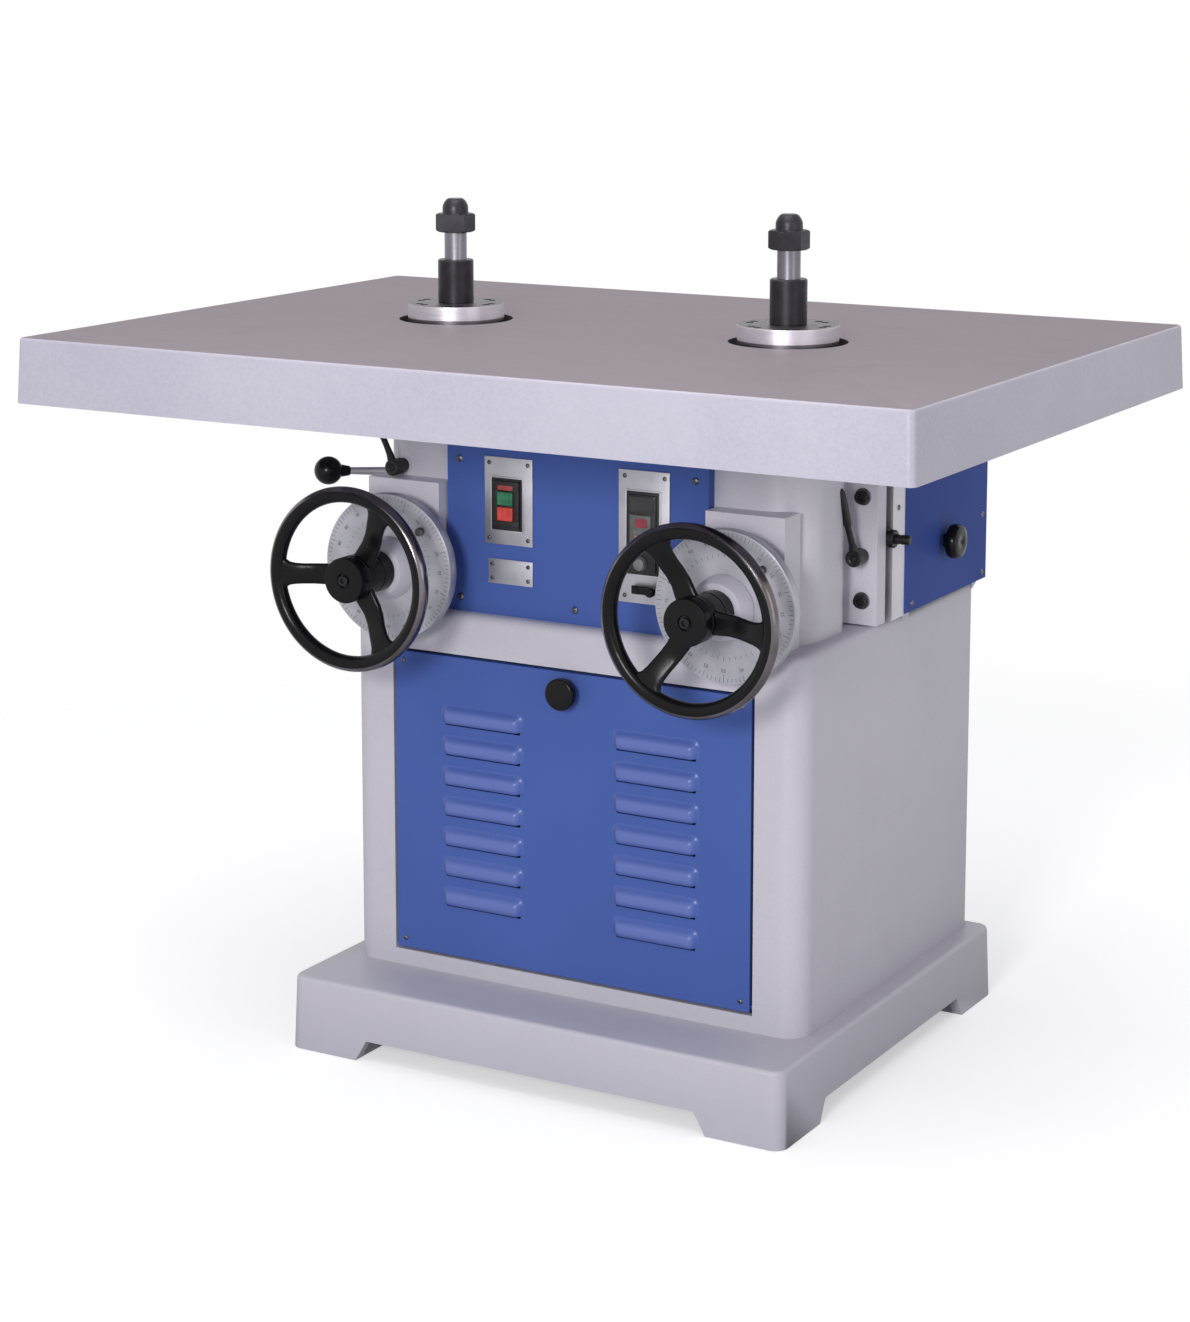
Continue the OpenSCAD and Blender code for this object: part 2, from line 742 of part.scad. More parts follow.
// Two switch plates with their openings, and the small blank plate
module switch_plates() {
    color("#b4b4b8") {
        difference() {
            block(left_plate[0], left_plate[1], -panel_front - plate_t, -panel_front, left_plate[2], plate_top);
            block(starter_x - starter_w / 2 - 0.3, starter_x + starter_w / 2 + 0.3,
                  -panel_front - plate_t - lap, -panel_front + lap, starter_z - 0.3, starter_z + starter_h + 0.3);
        }
        difference() {
            block(right_plate[0], right_plate[1], -panel_front - plate_t, -panel_front,
                  right_plate[2], plate_top);
            block(controller_x - controller_w / 2 - 0.3, controller_x + controller_w / 2 + 0.3,
                  -panel_front - plate_t - lap, -panel_front + lap,
                  controller_z - 0.3, controller_z + controller_h + 0.3);
            bar_y(4 + run_play, -panel_front - plate_t - lap, -panel_front + lap, lever_x, lever_z);
        }
        block(blank_plate[0], blank_plate[1], -panel_front - plate_t, -panel_front,
              blank_plate[2], blank_plate[3]);
    }
}

// Head of a plate screw
module plate_screw(x, z) {
    bar_y(3, -panel_front - plate_t - 1.5, -panel_front - plate_t, x, z);
}

// Small screws in the corners of the three plates
module plate_screws() {
    color("#8d8c90") {
        for (x = [left_plate[0] + 7, left_plate[1] - 7])
            for (z = [left_plate[2] + 8, plate_top - 8])
                plate_screw(x, z);
        for (x = [right_plate[0] + 9, right_plate[1] - 7])
            for (z = [right_plate[2] + 9, plate_top - 8])
                plate_screw(x, z);
        for (x = [blank_plate[0] + 6, blank_plate[1] - 7])
            for (z = [blank_plate[2] + 7, blank_plate[3] - 7])
                plate_screw(x, z);
    }
}

// Housing of the left spindle's starter, with a shaft for each button
module starter() {
    play = 0.4;
    color("#232325")
    difference() {
        block(starter_x - starter_w / 2, starter_x + starter_w / 2, -starter_face,
              -starter_face + switch_depth, starter_z, starter_z + starter_h);
        for (z = [start_z, stop_z])
            block(starter_x - button_w / 2 - play, starter_x + button_w / 2 + play, -starter_face - lap,
                  -starter_face + 14, z - play, z + button_h + play);
    }
}

// Push button that stands out of the starter by its travel
module push_button(z) {
    block(starter_x - button_w / 2, starter_x + button_w / 2, -starter_face - button_travel,
          -starter_face + 9, z, z + button_h);
}

module start_button() {
    color("#2e6b4c") push_button(start_z);
}

module stop_button() {
    color("#c8453f") push_button(stop_z);
}

// Speed controller of the right spindle, with its keypad block
module controller() {
    face = panel_front + 6;
    color("#2a2a2d")
    difference() {
        union() {
            block(controller_x - controller_w / 2, controller_x + controller_w / 2, -face,
                  -face + switch_depth, controller_z, controller_z + controller_h);
            block(controller_x - 17, controller_x + 13.5, -face - 1.5, -face + lap,
                  controller_z + 38, controller_z + 74);
        }
        bar_y(3 + run_play, -face - lap, -face + 10, controller_x - 1, dial_knob_z);
    }
}

// Turning knob of the speed controller
module speed_knob() {
    face = panel_front + 6;
    color("#6d6c70") {
        bar_y(9.5, -face - 8, -face - face_play, controller_x - 1, dial_knob_z);
        bar_y(3, -face - lap, -face + 9, controller_x - 1, dial_knob_z);
    }
}

// Change-over lever: flat arm, round grip and pivot
module changeover_lever() {
    face = panel_front + plate_t + face_play;
    color("#262628") {
        block(lever_x - 6, lever_x + 24, -face - 5, -face, lever_z - 6.5, lever_z + 6.5);
        bar_y(6.5, -face - 14, -face, lever_x + 24, lever_z);
        bar_y(4, -face - lap, -panel_front + 12, lever_x, lever_z);
    }
}

// Blue side cover with folded front and back edges
module side_cover() {
    inner = cover_out - cover_t;
    color("#3f58a5")
    difference() {
        union() {
            block(inner, cover_out, cover_front, cover_back, cover_z, cover_top);
            block(inner - 26, inner + lap, cover_front, cover_front + cover_t, cover_z, cover_top);
            block(spindle_x + 35, inner + lap, cover_back - cover_t, cover_back, cover_z, cover_top);
        }
        bar_x(6 + run_play, inner - lap, cover_out + lap, knob_y, knob_z);
        for (y = lug_y)
            bar_x(2.5 + screw_play, inner - lap, cover_out + lap, y, body_h + 12);
    }
}

module side_cover_left() {
    on_side(-1) side_cover();
}

module side_cover_right() {
    on_side(1) side_cover();
}

// Mushroom knob of a side cover with its latch inside
module side_knob() {
    inner = cover_out - cover_t;
    color("#262628") {
        bar_x(6, inner - 12, cover_out + 8, knob_y, knob_z);
        bar_x(9, cover_out + face_play, cover_out + 10, knob_y, knob_z);
        translate([cover_out + 8, knob_y, knob_z])
            rotate([0, 90, 0])
                rotate_extrude() {
                    polygon([[0, 0], [9, 0], [knob_r - 3, 6], [knob_r, 10], [knob_r, knob_out - 15],
                             [knob_r - 5, knob_out - 10], [0, knob_out - 8]]);
                }
        block(inner - 9, inner - 6, knob_y - 8, knob_y + 8, knob_z - 8, knob_z + 30);
    }
}

module side_knob_left() {
    on_side(-1) side_knob();
}

module side_knob_right() {
    on_side(1) side_knob();
}

// Cable gland low on the cabinet's back
module cable_gland() {
    color("#2b2b2d")
    difference() {
        union() {
            bar_y(10, body_back - body_wall - 4, body_back + lap, gland_x, gland_z);
            translate([gland_x, body_back, gland_z])
                rotate([-90, 0, 0]) cylinder(r = 15, h = 8, $fn = 6);
            bar_y(11, body_back + 7, body_back + 20, gland_x, gland_z);
        }
        bar_y(5, body_back - body_wall - 5, body_back + 21, gland_x, gland_z);
    }
}

// Vertical carriage: slide plate, webs, saddles round the sleeve, nut and motor pad
module carriage() {
    color("#7b7f86")
    difference() {
        union() {
            block(spindle_x - slide_half, spindle_x + slide_half, ear_back + face_play, slot_back - face_play,
                  carriage_z0, carriage_z1);
            block(spindle_x - motor_pad_half, spindle_x + motor_pad_half, slot_back - face_play - lap,
                  motor_pad_y, motor_pad_z[0], motor_pad_z[1]);
            for (x = [spindle_x - 24, spindle_x + 10])
                block(x, x + 14, -spindle_front + sleeve_r - 8, ear_back + face_play + lap,
                      saddle_low[0], saddle_up[1]);
            for (z = [saddle_low, saddle_up])
                bar_z(saddle_r, z[0], z[1], spindle_x, -spindle_front);
            block(spindle_x - 14, spindle_x + 14, lift_y - 14, -spindle_front - sleeve_r + 4,
                  saddle_up[1] - 25, saddle_up[1]);
        }
        bar_z(sleeve_r + screw_play, saddle_low[0] - lap, saddle_up[1] + lap, spindle_x, -spindle_front);
        bar_z(lift_r + face_play, saddle_up[0], saddle_up[1] + lap, spindle_x, lift_y);
        bar_z(bevel_r + 1, saddle_low[0] - lap, saddle_low[1] + lap, spindle_x, lift_y);
    }
}

module carriage_left() {
    on_side(-1) carriage();
}

module carriage_right() {
    on_side(1) carriage();
}

// Spindle sleeve: tube with a flange under the cap ring
module sleeve() {
    color("#a5a4a9")
    difference() {
        union() {
            bar_z(sleeve_r, body_h, cap_z, spindle_x, -spindle_front);
            bar_z(cap_r, cap_z - 16, cap_z, spindle_x, -spindle_front);
        }
        bar_z(26, body_h + 20, cap_z - 30, spindle_x, -spindle_front);
        bar_z(arbor_r + run_play, body_h - lap, cap_z + lap, spindle_x, -spindle_front);
        bar_z(31, cap_z - 18, cap_z + lap, spindle_x, -spindle_front);
        cap_screw_places() bar_z(3 + screw_play, cap_z - 14, cap_z + lap, 0, 0);
    }
}

module sleeve_left() {
    on_side(-1) sleeve();
}

module sleeve_right() {
    on_side(1) sleeve();
}

// Six pairs of places round the cap ring
module cap_screw_places() {
    for (a = [0 : 60 : 300])
        for (b = [-7.5, 7.5])
            translate([spindle_x, -spindle_front, 0])
                rotate([0, 0, a + b])
                    translate([cap_r - 13, 0, 0])
                        children();
}

// Ring that caps the sleeve and shows above the table
module quill_cap() {
    color("#8e8c92")
    difference() {
        union() {
            bar_z(cap_r, cap_z, cap_top, spindle_x, -spindle_front);
            bar_z(30.9, cap_z - 16, cap_z + lap, spindle_x, -spindle_front);
        }
        bar_z(22.5, cap_z - 18, cap_top + lap, spindle_x, -spindle_front);
        cap_screw_places() {
            bar_z(3 + screw_play, cap_z - lap, cap_top + lap, 0, 0);
            bar_z(5 + screw_play, cap_top - 6.5, cap_top + lap, 0, 0);
        }
    }
}

module quill_cap_left() {
    on_side(-1) quill_cap();
}

module quill_cap_right() {
    on_side(1) quill_cap();
}

// Socket screws sunk in the ring
module cap_screws() {
    color("#343338")
    cap_screw_places() {
        bar_z(5, cap_top - 6.5, cap_top - 0.5, 0, 0);
        bar_z(3, cap_z - 13, cap_top - 6, 0, 0);
    }
}

module cap_screws_left() {
    on_side(-1) cap_screws();
}

module cap_screws_right() {
    on_side(1) cap_screws();
}

// Spindle with its shoulder, arbor and driven pulley
module spindle() {
    translate([spindle_x, -spindle_front, 0])
    color("#9a999f") {
        bar_z(arbor_r, pulley_z - 5, nut_z, 0, 0);
        bar_z(20, cap_z - 15.5, collar_z, 0, 0);
        bar_z(arbor_r - 0.6, nut_z - lap, nut_z + nut_h + 4, 0, 0);
        bar_z(pulley_r, pulley_z, pulley_z + pulley_h, 0, 0);
    }
}

module spindle_left() {
    on_side(-1) spindle();
}

module spindle_right() {
    on_side(1) spindle();
}

// Black spacing collar that the cutter rests on
module collar() {
    color("#232326")
    difference() {
        bar_z(collar_r, collar_z, collar_z + collar_h, spindle_x, -spindle_front);
        bar_z(arbor_r + run_play, collar_z - lap, collar_z + collar_h + lap, spindle_x, -spindle_front);
    }
}

module collar_left() {
    on_side(-1) collar();
}

module collar_right() {
    on_side(1) collar();
}

// Domed cap nut on the arbor
module arbor_nut() {
    translate([spindle_x, -spindle_front, nut_z])
    color("#3a383c")
    difference() {
        union() {
            cylinder(r = nut_af / sqrt(3), h = nut_h, $fn = 6);
            rotate_extrude()
                polygon([[0, nut_h - lap], [dome_r, nut_h - lap], [dome_r, nut_h + dome_h * 0.45],
                         [dome_r * 0.86, nut_h + dome_h * 0.82], [dome_r * 0.6, nut_h + dome_h],
                         [0, nut_h + dome_h]]);
        }
        translate([0, 0, -lap]) cylinder(r = arbor_r - 0.6 + run_play, h = nut_h + 5 + lap);
    }
}

module arbor_nut_left() {
    on_side(-1) arbor_nut();
}

module arbor_nut_right() {
    on_side(1) arbor_nut();
}

// Flat belt round both pulleys
module belt() {
    play = 0.5;
    z = pulley_z + (pulley_h - belt_h) / 2;
    color("#2a2a2b")
    translate([0, 0, z])
        linear_extrude(belt_h)
            difference() {
                belt_line(play + belt_t);
                belt_line(play);
            }
}

// Outline round both pulleys at a distance from them
module belt_line(out) {
    hull() {
        translate([spindle_x, -spindle_front]) circle(r = pulley_r + out, $fn = 48);
        translate([spindle_x, motor_back]) circle(r = motor_pulley_r + out, $fn = 48);
    }
}

module belt_left() {
    on_side(-1) belt();
}

module belt_right() {
    on_side(1) belt();
}

// Motor: housing, end bells, fan cover and the foot bolted to the carriage
module motor() {
    color("#5c6068")
    difference() {
        union() {
            bar_z(motor_r, motor_z, motor_z + motor_tall, spindle_x, motor_back);
            bar_z(motor_r - 6, motor_z - 15, motor_z + lap, spindle_x, motor_back);
            bar_z(motor_r - 4, motor_z + motor_tall - lap, motor_z + motor_tall + 42, spindle_x, motor_back);
            block(spindle_x - motor_pad_half, spindle_x + motor_pad_half, motor_pad_y, motor_pad_y + 12,
                  motor_pad_z[0], motor_pad_z[1]);
            block(spindle_x - 35, spindle_x + 35, motor_pad_y + 11, motor_back - motor_r * 0.7,
                  motor_pad_z[0] + 6, motor_pad_z[1] - 6);
            block(spindle_x - 30, spindle_x + 30, motor_back + motor_r * 0.7, motor_back + motor_r + 16,
                  motor_pad_z[0] + 30, motor_pad_z[1] - 20);
        }
        bar_z(motor_shaft_r + run_play, motor_z - 15 - lap, motor_z + 12, spindle_x, motor_back);
    }
}

module motor_left() {
    on_side(-1) motor();
}

module motor_right() {
    on_side(1) motor();
}

// Motor shaft with its pulley
module motor_rotor() {
    translate([spindle_x, motor_back, 0])
    color("#8a8a90") {
        bar_z(motor_shaft_r, pulley_z - 4, motor_z + 11, 0, 0);
        bar_z(motor_pulley_r, pulley_z, pulley_z + pulley_h, 0, 0);
    }
}

module motor_rotor_left() {
    on_side(-1) motor_rotor();
}

module motor_rotor_right() {
    on_side(1) motor_rotor();
}

// Cone of a bevel gear that points up from its large end, at the origin
module bevel() {
    cylinder(r1 = bevel_r - bevel_play, r2 = bevel_r - bevel_play - bevel_w, h = bevel_w);
}

// Lift screw with its bevel gear, standing between shelf and bracket
module lift_screw() {
    translate([spindle_x, lift_y, 0])
    color("#8f8e92") {
        bar_z(journal_r, body_h + 1, bracket_z + bracket_t - 1, 0, 0);
        bar_z(lift_r, body_h + shelf_t + face_play, bracket_z - face_play, 0, 0);
        bar_z(bevel_r - bevel_play, axis_z - bevel_r - 6, axis_z - bevel_r, 0, 0);
        translate([0, 0, axis_z - bevel_r]) bevel();
    }
}

module lift_screw_left() {
    on_side(-1) lift_screw();
}

module lift_screw_right() {
    on_side(1) lift_screw();
}

// Bearing bosses of both handwheel shafts, fixed in the gear blocks
module wheel_bearings() {
    color("#c9c8cf")
    for (x = [-spindle_x, spindle_x])
        translate([x, 0, axis_z])
            rotate([-90, 0, 0])
                difference() {
                    rotate_extrude()
                        polygon([[0, boss_front], [boss_r - 8, boss_front], [boss_r - 2, boss_front + 10],
                                 [boss_r, dial_front - face_play], [dial_bore_r, dial_front - face_play],
                                 [dial_bore_r, bearing_flange_y], [bearing_flange_r, bearing_flange_y],
                                 [bearing_flange_r, -block_front], [shaft_r + 14.9, -block_front],
                                 [shaft_r + 14.9, -block_front + head_wall], [0, -block_front + head_wall]]);
                    translate([0, 0, boss_front - lap])
                        cylinder(r = shaft_r + run_play, h = -block_front + head_wall - boss_front + 2 * lap);
                }
}

// Handwheel shaft with the bevel pinion at its inner end and the screw head in front
module wheel_shaft(side) {
    pinion_y = lift_y - bevel_r;
    color("#8f8e92")
    translate([side * spindle_x, 0, axis_z]) {
        bar_y(shaft_r, hub_front + 4, pinion_y, 0, 0);
        bar_y(bevel_r - bevel_play, pinion_y - 8, pinion_y, 0, 0);
        translate([0, pinion_y, 0]) rotate([-90, 0, 0]) bevel();
        bar_y(7, hub_front - 2, hub_front + 5, 0, 0);
    }
}

module wheel_shaft_left() {
    wheel_shaft(-1);
}

module wheel_shaft_right() {
    wheel_shaft(1);
}

// Handwheel: round rim, three dished spokes and the hub
module handwheel(side, first) {
    color("#262628")
    translate([side * spindle_x, 0, axis_z])
        difference() {
            union() {
                translate([0, rim_y, 0])
                    rotate([90, 0, 0])
                        rotate_extrude() translate([wheel_r - rim_r, 0]) circle(r = rim_r);
                for (a = [first, first + 120, first + 240])
                    rotate([0, -a, 0])
                        linear_extrude(spoke_w, center = true) polygon(spoke_side);
                bar_y(hub_r, hub_front, -340, 0, 0);
                bar_y(hub_r - 3, -341, hub_back, 0, 0);
            }
            bar_y(shaft_r + run_play, hub_front + 4, hub_back + lap, 0, 0);
            bar_y(9, hub_front - lap, hub_front + 5, 0, 0);
        }
}

module handwheel_left() {
    handwheel(-1, spokes_left);
}

module handwheel_right() {
    handwheel(1, spokes_right);
}

// Graduated dial that turns on the bearing boss, with its lock screw
module dial(side) {
    color("#c8c6cc")
    translate([side * spindle_x, 0, axis_z])
        difference() {
            union() {
                bar_y(dial_r, dial_front, dial_front + dial_t, 0, 0);
                bar_y(bearing_flange_r, dial_front + dial_t - lap, bearing_flange_y - face_play, 0, 0);
                bar_y(5.5, dial_front - 9, dial_front + lap, 53, 53);
            }
            bar_y(dial_bore_r + run_play, dial_front - lap, bearing_flange_y + lap, 0, 0);
        }
}

module dial_left() {
    dial(-1);
}

module dial_right() {
    dial(1);
}

// Clamping lever: stud, hub and an arm that rises and leans towards the user
module ratchet_lever(stud, lean) {
    hub_l = 30;
    arm_h = 84 * rise;
    color("#232325") {
        bar_y(lever_hub_r, -hub_l, -face_play, 0, 0);
        bar_y(clamp_bolt_r, -lap, stud, 0, 0);
        hull() {
            bar_y(9, -hub_l + 0.5, -hub_l + 11, 0, 0, $fn = 32);
            translate([lean, -hub_l - 16, arm_h]) sphere(r = 6.5, $fn = 32);
        }
    }
}

// On the flat wall of the left head
module ratchet_lever_left() {
    translate([-flat_lever_x, -head_front - flat_seat, flat_lever_z]) ratchet_lever(head_wall, -20);
}

// On the middle bolt place of the right head's outer ear
module ratchet_lever_right() {
    translate([spindle_x + clamp_out, ear_front, clamp_z[1]]) ratchet_lever(ear_t + slot_w + 26, 0);
}

// Ball lever on the left head's flank
module ball_lever() {
    ball = [-head_out - 93, ball_lever_y - 74, ball_lever_z + 6];
    neck = [-head_out - 19, ball_lever_y, ball_lever_z];
    color("#232325") {
        bar_x(12, -head_out - 26, -head_out - face_play, ball_lever_y, ball_lever_z);
        bar_x(clamp_bolt_r, -head_out - lap, -head_out + head_wall, ball_lever_y, ball_lever_z);
        taper(neck, ball, 7, 5);
        translate(ball) sphere(r = ball_r);
    }
}

// Housing of the plunger, held in the slot between ear and way
module plunger_body() {
    far = spindle_x + ear_half;
    color("#232325")
    difference() {
        union() {
            block(spindle_x + slide_half + 4, far - 2, ear_back + 0.1, slot_back - 0.1,
                  plunger_z - 12, plunger_z + 12);
            bar_x(10, far - 3, far + 1, plunger_y, plunger_z);
            bar_x(12, far + face_play, far + 9, plunger_y, plunger_z);
        }
        bar_x(6.5 + run_play, spindle_x + slide_half, far + 10, plunger_y, plunger_z);
    }
}

// Spring plunger that bears on the carriage's edge
module plunger() {
    color("#2b2b2e")
    bar_x(6.5, spindle_x + slide_half + face_play, spindle_x + ear_half + 30, plunger_y, plunger_z);
}

base();
way_frames();
head_left();
head_right();
clamp_bolts();
table_bolts();
table();
front_door();
door_knob();
door_screws();
rear_covers();
cover_screws();
front_panel();
switch_plates();
plate_screws();
starter();
start_button();
stop_button();
controller();
speed_knob();
changeover_lever();
side_cover_left();
side_cover_right();
side_knob_left();
side_knob_right();
cable_gland();
carriage_left();
carriage_right();
sleeve_left();
sleeve_right();
quill_cap_left();
quill_cap_right();
cap_screws_left();
cap_screws_right();
spindle_left();
spindle_right();
collar_left();
collar_right();
arbor_nut_left();
arbor_nut_right();
belt_left();
belt_right();
motor_left();
motor_right();
motor_rotor_left();
motor_rotor_right();
lift_screw_left();
lift_screw_right();
wheel_bearings();
wheel_shaft_left();
wheel_shaft_right();
handwheel_left();
handwheel_right();
dial_left();
dial_right();
ratchet_lever_left();
ratchet_lever_right();
ball_lever();
plunger_body();
plunger();
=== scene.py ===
import math

import bmesh
import bpy
from mathutils import Matrix, Vector


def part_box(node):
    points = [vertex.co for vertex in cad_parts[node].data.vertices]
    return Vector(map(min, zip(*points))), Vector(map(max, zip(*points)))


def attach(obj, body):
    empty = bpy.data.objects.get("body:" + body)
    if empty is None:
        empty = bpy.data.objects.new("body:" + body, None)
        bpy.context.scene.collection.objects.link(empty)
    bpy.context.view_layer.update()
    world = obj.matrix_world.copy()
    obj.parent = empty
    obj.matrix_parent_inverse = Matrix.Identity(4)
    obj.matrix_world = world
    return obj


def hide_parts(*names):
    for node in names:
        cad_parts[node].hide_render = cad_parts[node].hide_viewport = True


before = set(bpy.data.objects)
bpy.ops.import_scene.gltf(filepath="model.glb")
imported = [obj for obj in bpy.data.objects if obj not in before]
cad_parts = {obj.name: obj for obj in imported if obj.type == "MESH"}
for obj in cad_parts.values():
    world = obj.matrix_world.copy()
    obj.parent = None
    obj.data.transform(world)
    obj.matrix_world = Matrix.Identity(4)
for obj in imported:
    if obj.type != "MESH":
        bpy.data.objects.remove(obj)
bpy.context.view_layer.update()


# Plinth and cabinet: a grey iron casting, a hollow plinth on four feet with the cabinet standing on it.
# Sprayed with light grey machine enamel over filler, so broad faces are smooth and edges are rounded.

# Sockets of a Mix node that is set to colours: its share, its two colours and the colour it gives
mix_share, mix_first, mix_second, mix_colour = 0, 6, 7, 2


def srgb(code):
    """Linear colour of an sRGB hex code"""
    parts = [int(code[i:i + 2], 16) / 255 for i in (1, 3, 5)]
    return [c / 12.92 if c <= 0.04045 else ((c + 0.055) / 1.055) ** 2.4 for c in parts] + [1.0]


def add(tree, kind, settings={}, sockets={}, stops=()):
    """Adds a node, sets it up, and gives each named input its value or its link"""
    node = tree.nodes.new("ShaderNode" + kind)
    for key, value in settings.items():
        setattr(node, key, value)
    for key, value in sockets.items():
        if isinstance(value, bpy.types.NodeSocket):
            tree.links.new(value, node.inputs[key])
        else:
            node.inputs[key].default_value = value
    for i, (place, level) in enumerate(stops):
        stop = node.color_ramp.elements[i] if i < 2 else node.color_ramp.elements.new(place)
        stop.position = place
        stop.color = (level, level, level, 1)
    return node


def finish(name):
    """A new material with an empty node tree"""
    material = bpy.data.materials.new(name)
    material.use_nodes = True
    material.node_tree.nodes.clear()
    return material, material.node_tree


def enamel(name, colour, thin, roughness, peel_mm, peel_depth, speckle=0.0, gloss_level=0.5, ior=1.5,
           painted_light_tone=None):
    """Sprayed machine enamel: even colour that clouds a little where the coat is thinner, orange peel that
    breaks up the reflections, and painted light or shade if asked: another tone towards one side, (axis,
    from, to, colour)"""
    material, tree = finish(name)
    place = add(tree, "TexCoord").outputs["Object"]
    # Clouds almost 300 mm wide with smaller ones in them
    clouds = add(tree, "TexNoise", {}, {"Vector": place, "Scale": 3.5, "Detail": 3.0, "Roughness": 0.5})
    thinner = add(tree, "ValToRGB", {}, {"Fac": clouds.outputs["Fac"]}, [(0.35, 0.0), (0.7, 1.0)])
    # Dust grains under the coat, a few millimetres apart and drawn coarse enough to show
    grains = add(tree, "TexNoise", {}, {"Vector": place, "Scale": 1000 / peel_mm, "Detail": 2.0})
    spots = add(tree, "MapRange", {}, {"Value": grains.outputs["Fac"], "From Min": 0.4, "From Max": 0.7,
                                       "To Min": -speckle, "To Max": speckle})
    share = add(tree, "Math", {"operation": "ADD", "use_clamp": True},
                {0: thinner.outputs["Color"], 1: spots.outputs[0]})
    tint = add(tree, "Mix", {"data_type": "RGBA"},
               {mix_share: share.outputs[0], mix_first: srgb(colour), mix_second: srgb(thin)})
    # Painted light or shade: the colour drifts to another tone along one axis
    if painted_light_tone:
        axis, start, end, other = painted_light_tone
        spot = add(tree, "SeparateXYZ", {}, {0: place})
        amount = add(tree, "MapRange", {"interpolation_type": "SMOOTHSTEP"},
                     {"Value": spot.outputs[axis], "From Min": start, "From Max": end, "To Max": 0.85})
        tint = add(tree, "Mix", {"data_type": "RGBA"},
                   {mix_share: amount.outputs[0], mix_first: tint.outputs[mix_colour],
                    mix_second: srgb(other)})
    # Orange peel: long waves of the coat, nine grains wide, with the grains on them
    waves = add(tree, "TexNoise", {}, {"Vector": place, "Scale": 1000 / (peel_mm * 9), "Detail": 1.0})
    relief = add(tree, "Math", {"operation": "MULTIPLY_ADD"},
                 {0: waves.outputs["Fac"], 1: 3.0, 2: grains.outputs["Fac"]})
    bump = add(tree, "Bump", {}, {"Height": relief.outputs[0], "Strength": peel_depth, "Distance": 0.0006})
    gloss = add(tree, "MapRange", {}, {"Value": clouds.outputs["Fac"], "To Min": roughness - 0.05,
                                       "To Max": roughness + 0.07})
    paint = add(tree, "BsdfPrincipled", {}, {"Base Color": tint.outputs[mix_colour], "IOR": ior,
                                             "Roughness": gloss.outputs[0], "Normal": bump.outputs[0],
                                             "Specular IOR Level": gloss_level})
    add(tree, "OutputMaterial", {}, {"Surface": paint.outputs[0]})
    return material


def dress(name, shape, body, finishes, stands_for, edge, sharp):
    """Makes an object of a shape, rounds its edges sharper than so many degrees by so many millimetres, and
    lets it ride on a body in place of the solids that it stands for"""
    mesh = bpy.data.meshes.new(name)
    shape.to_mesh(mesh)
    shape.free()
    obj = bpy.data.objects.new(name, mesh)
    bpy.context.scene.collection.objects.link(obj)
    for one in finishes:
        mesh.materials.append(one)
    mesh.shade_smooth()
    mesh.set_sharp_from_angle(angle=math.radians(sharp))
    if edge:
        rounding = obj.modifiers.new("rounded_edges", "BEVEL")
        rounding.width = edge / 1000
        rounding.segments = 3
        rounding.limit_method = "ANGLE"
        rounding.angle_limit = math.radians(sharp)
        rounding.harden_normals = True
    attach(obj, body)
    if stands_for:
        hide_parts(*stands_for)
    return obj


def rounded_copy(node, body, finishes, edge, flush=None):
    """A merged copy of a solid with rounded edges. Small feet on a side wall can be drawn flush with it:
    (place of the wall, foot and top of the feet), all in millimetres"""
    shape = bmesh.new()
    shape.from_mesh(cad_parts[node].data)
    if flush:
        wall, foot, top = [value / 1000 for value in flush]
        for v in shape.verts:
            if abs(v.co.x) > wall + 0.0005 and foot < v.co.z < top + 0.001:
                v.co.x, v.co.z = math.copysign(wall + 0.0001, v.co.x), top
    bmesh.ops.remove_doubles(shape, verts=shape.verts, dist=0.00002)
    bmesh.ops.dissolve_degenerate(shape, dist=0.00001, edges=shape.edges)
    bmesh.ops.dissolve_limit(shape, angle_limit=math.radians(0.6), verts=shape.verts, edges=shape.edges)
    return dress(node + "_rounded", shape, body, finishes, [node], edge, 35.0)


# Grey enamel on castings: lavender grey, satin, with the faint grit of a sanded casting under it
grey_enamel = enamel("grey_enamel_on_casting", "#C1BEC9", "#BBB8C3", roughness=0.42, peel_mm=3.5,
                     peel_depth=0.5, speckle=0.25, gloss_level=0.4)
# The same enamel on the plinth and cabinet, with a painted shade: darker towards the feet, where less light
# falls
plinth_enamel_painted_shade_at_foot = enamel("grey_enamel_painted_shade_at_foot", "#C1BEC9", "#BBB8C3", roughness=0.42, peel_mm=3.5,
                      peel_depth=0.5, speckle=0.25, gloss_level=0.4, painted_light_tone=(2, 0.20, -0.05, "#ABA9B4"))
# Two small feet under each side cover are drawn flush with the cabinet's wall
rounded_copy("base", "root", [plinth_enamel_painted_shade_at_foot], edge=3.0, flush=(340.0, 580.0, 600.0))


# Table: one grey iron casting with a deep skirt, planed and ground on top, holed for the two spindles.
# The skirt is enamelled like the plinth; the top is bare iron, bolted down on the heads from below.

def corners(node):
    """Lowest and highest corner of a solid's box at rest, in millimetres"""
    return [[round(1000 * c, 2) for c in corner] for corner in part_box(node)]


def middle(node):
    """Middle of a solid's box at rest, in millimetres"""
    return [round((a + b) / 2, 1) for a, b in zip(*corners(node))]


# Ground cast iron: warm grey, dull mirror, with clouds of handling and rust stain and fine grinding marks
ground_iron, tree = finish("ground_cast_iron_top")
place = add(tree, "TexCoord").outputs["Object"]
stain = add(tree, "TexNoise", {}, {"Vector": place, "Scale": 6.0, "Detail": 5.0, "Roughness": 0.6,
                                   "Distortion": 0.15})
worn = add(tree, "ValToRGB", {}, {"Fac": stain.outputs["Fac"]}, [(0.38, 0.0), (0.66, 1.0)])
tone = add(tree, "Mix", {"data_type": "RGBA"},
           {mix_share: worn.outputs["Color"], mix_first: srgb("#ABA3A9"), mix_second: srgb("#A0989E")})
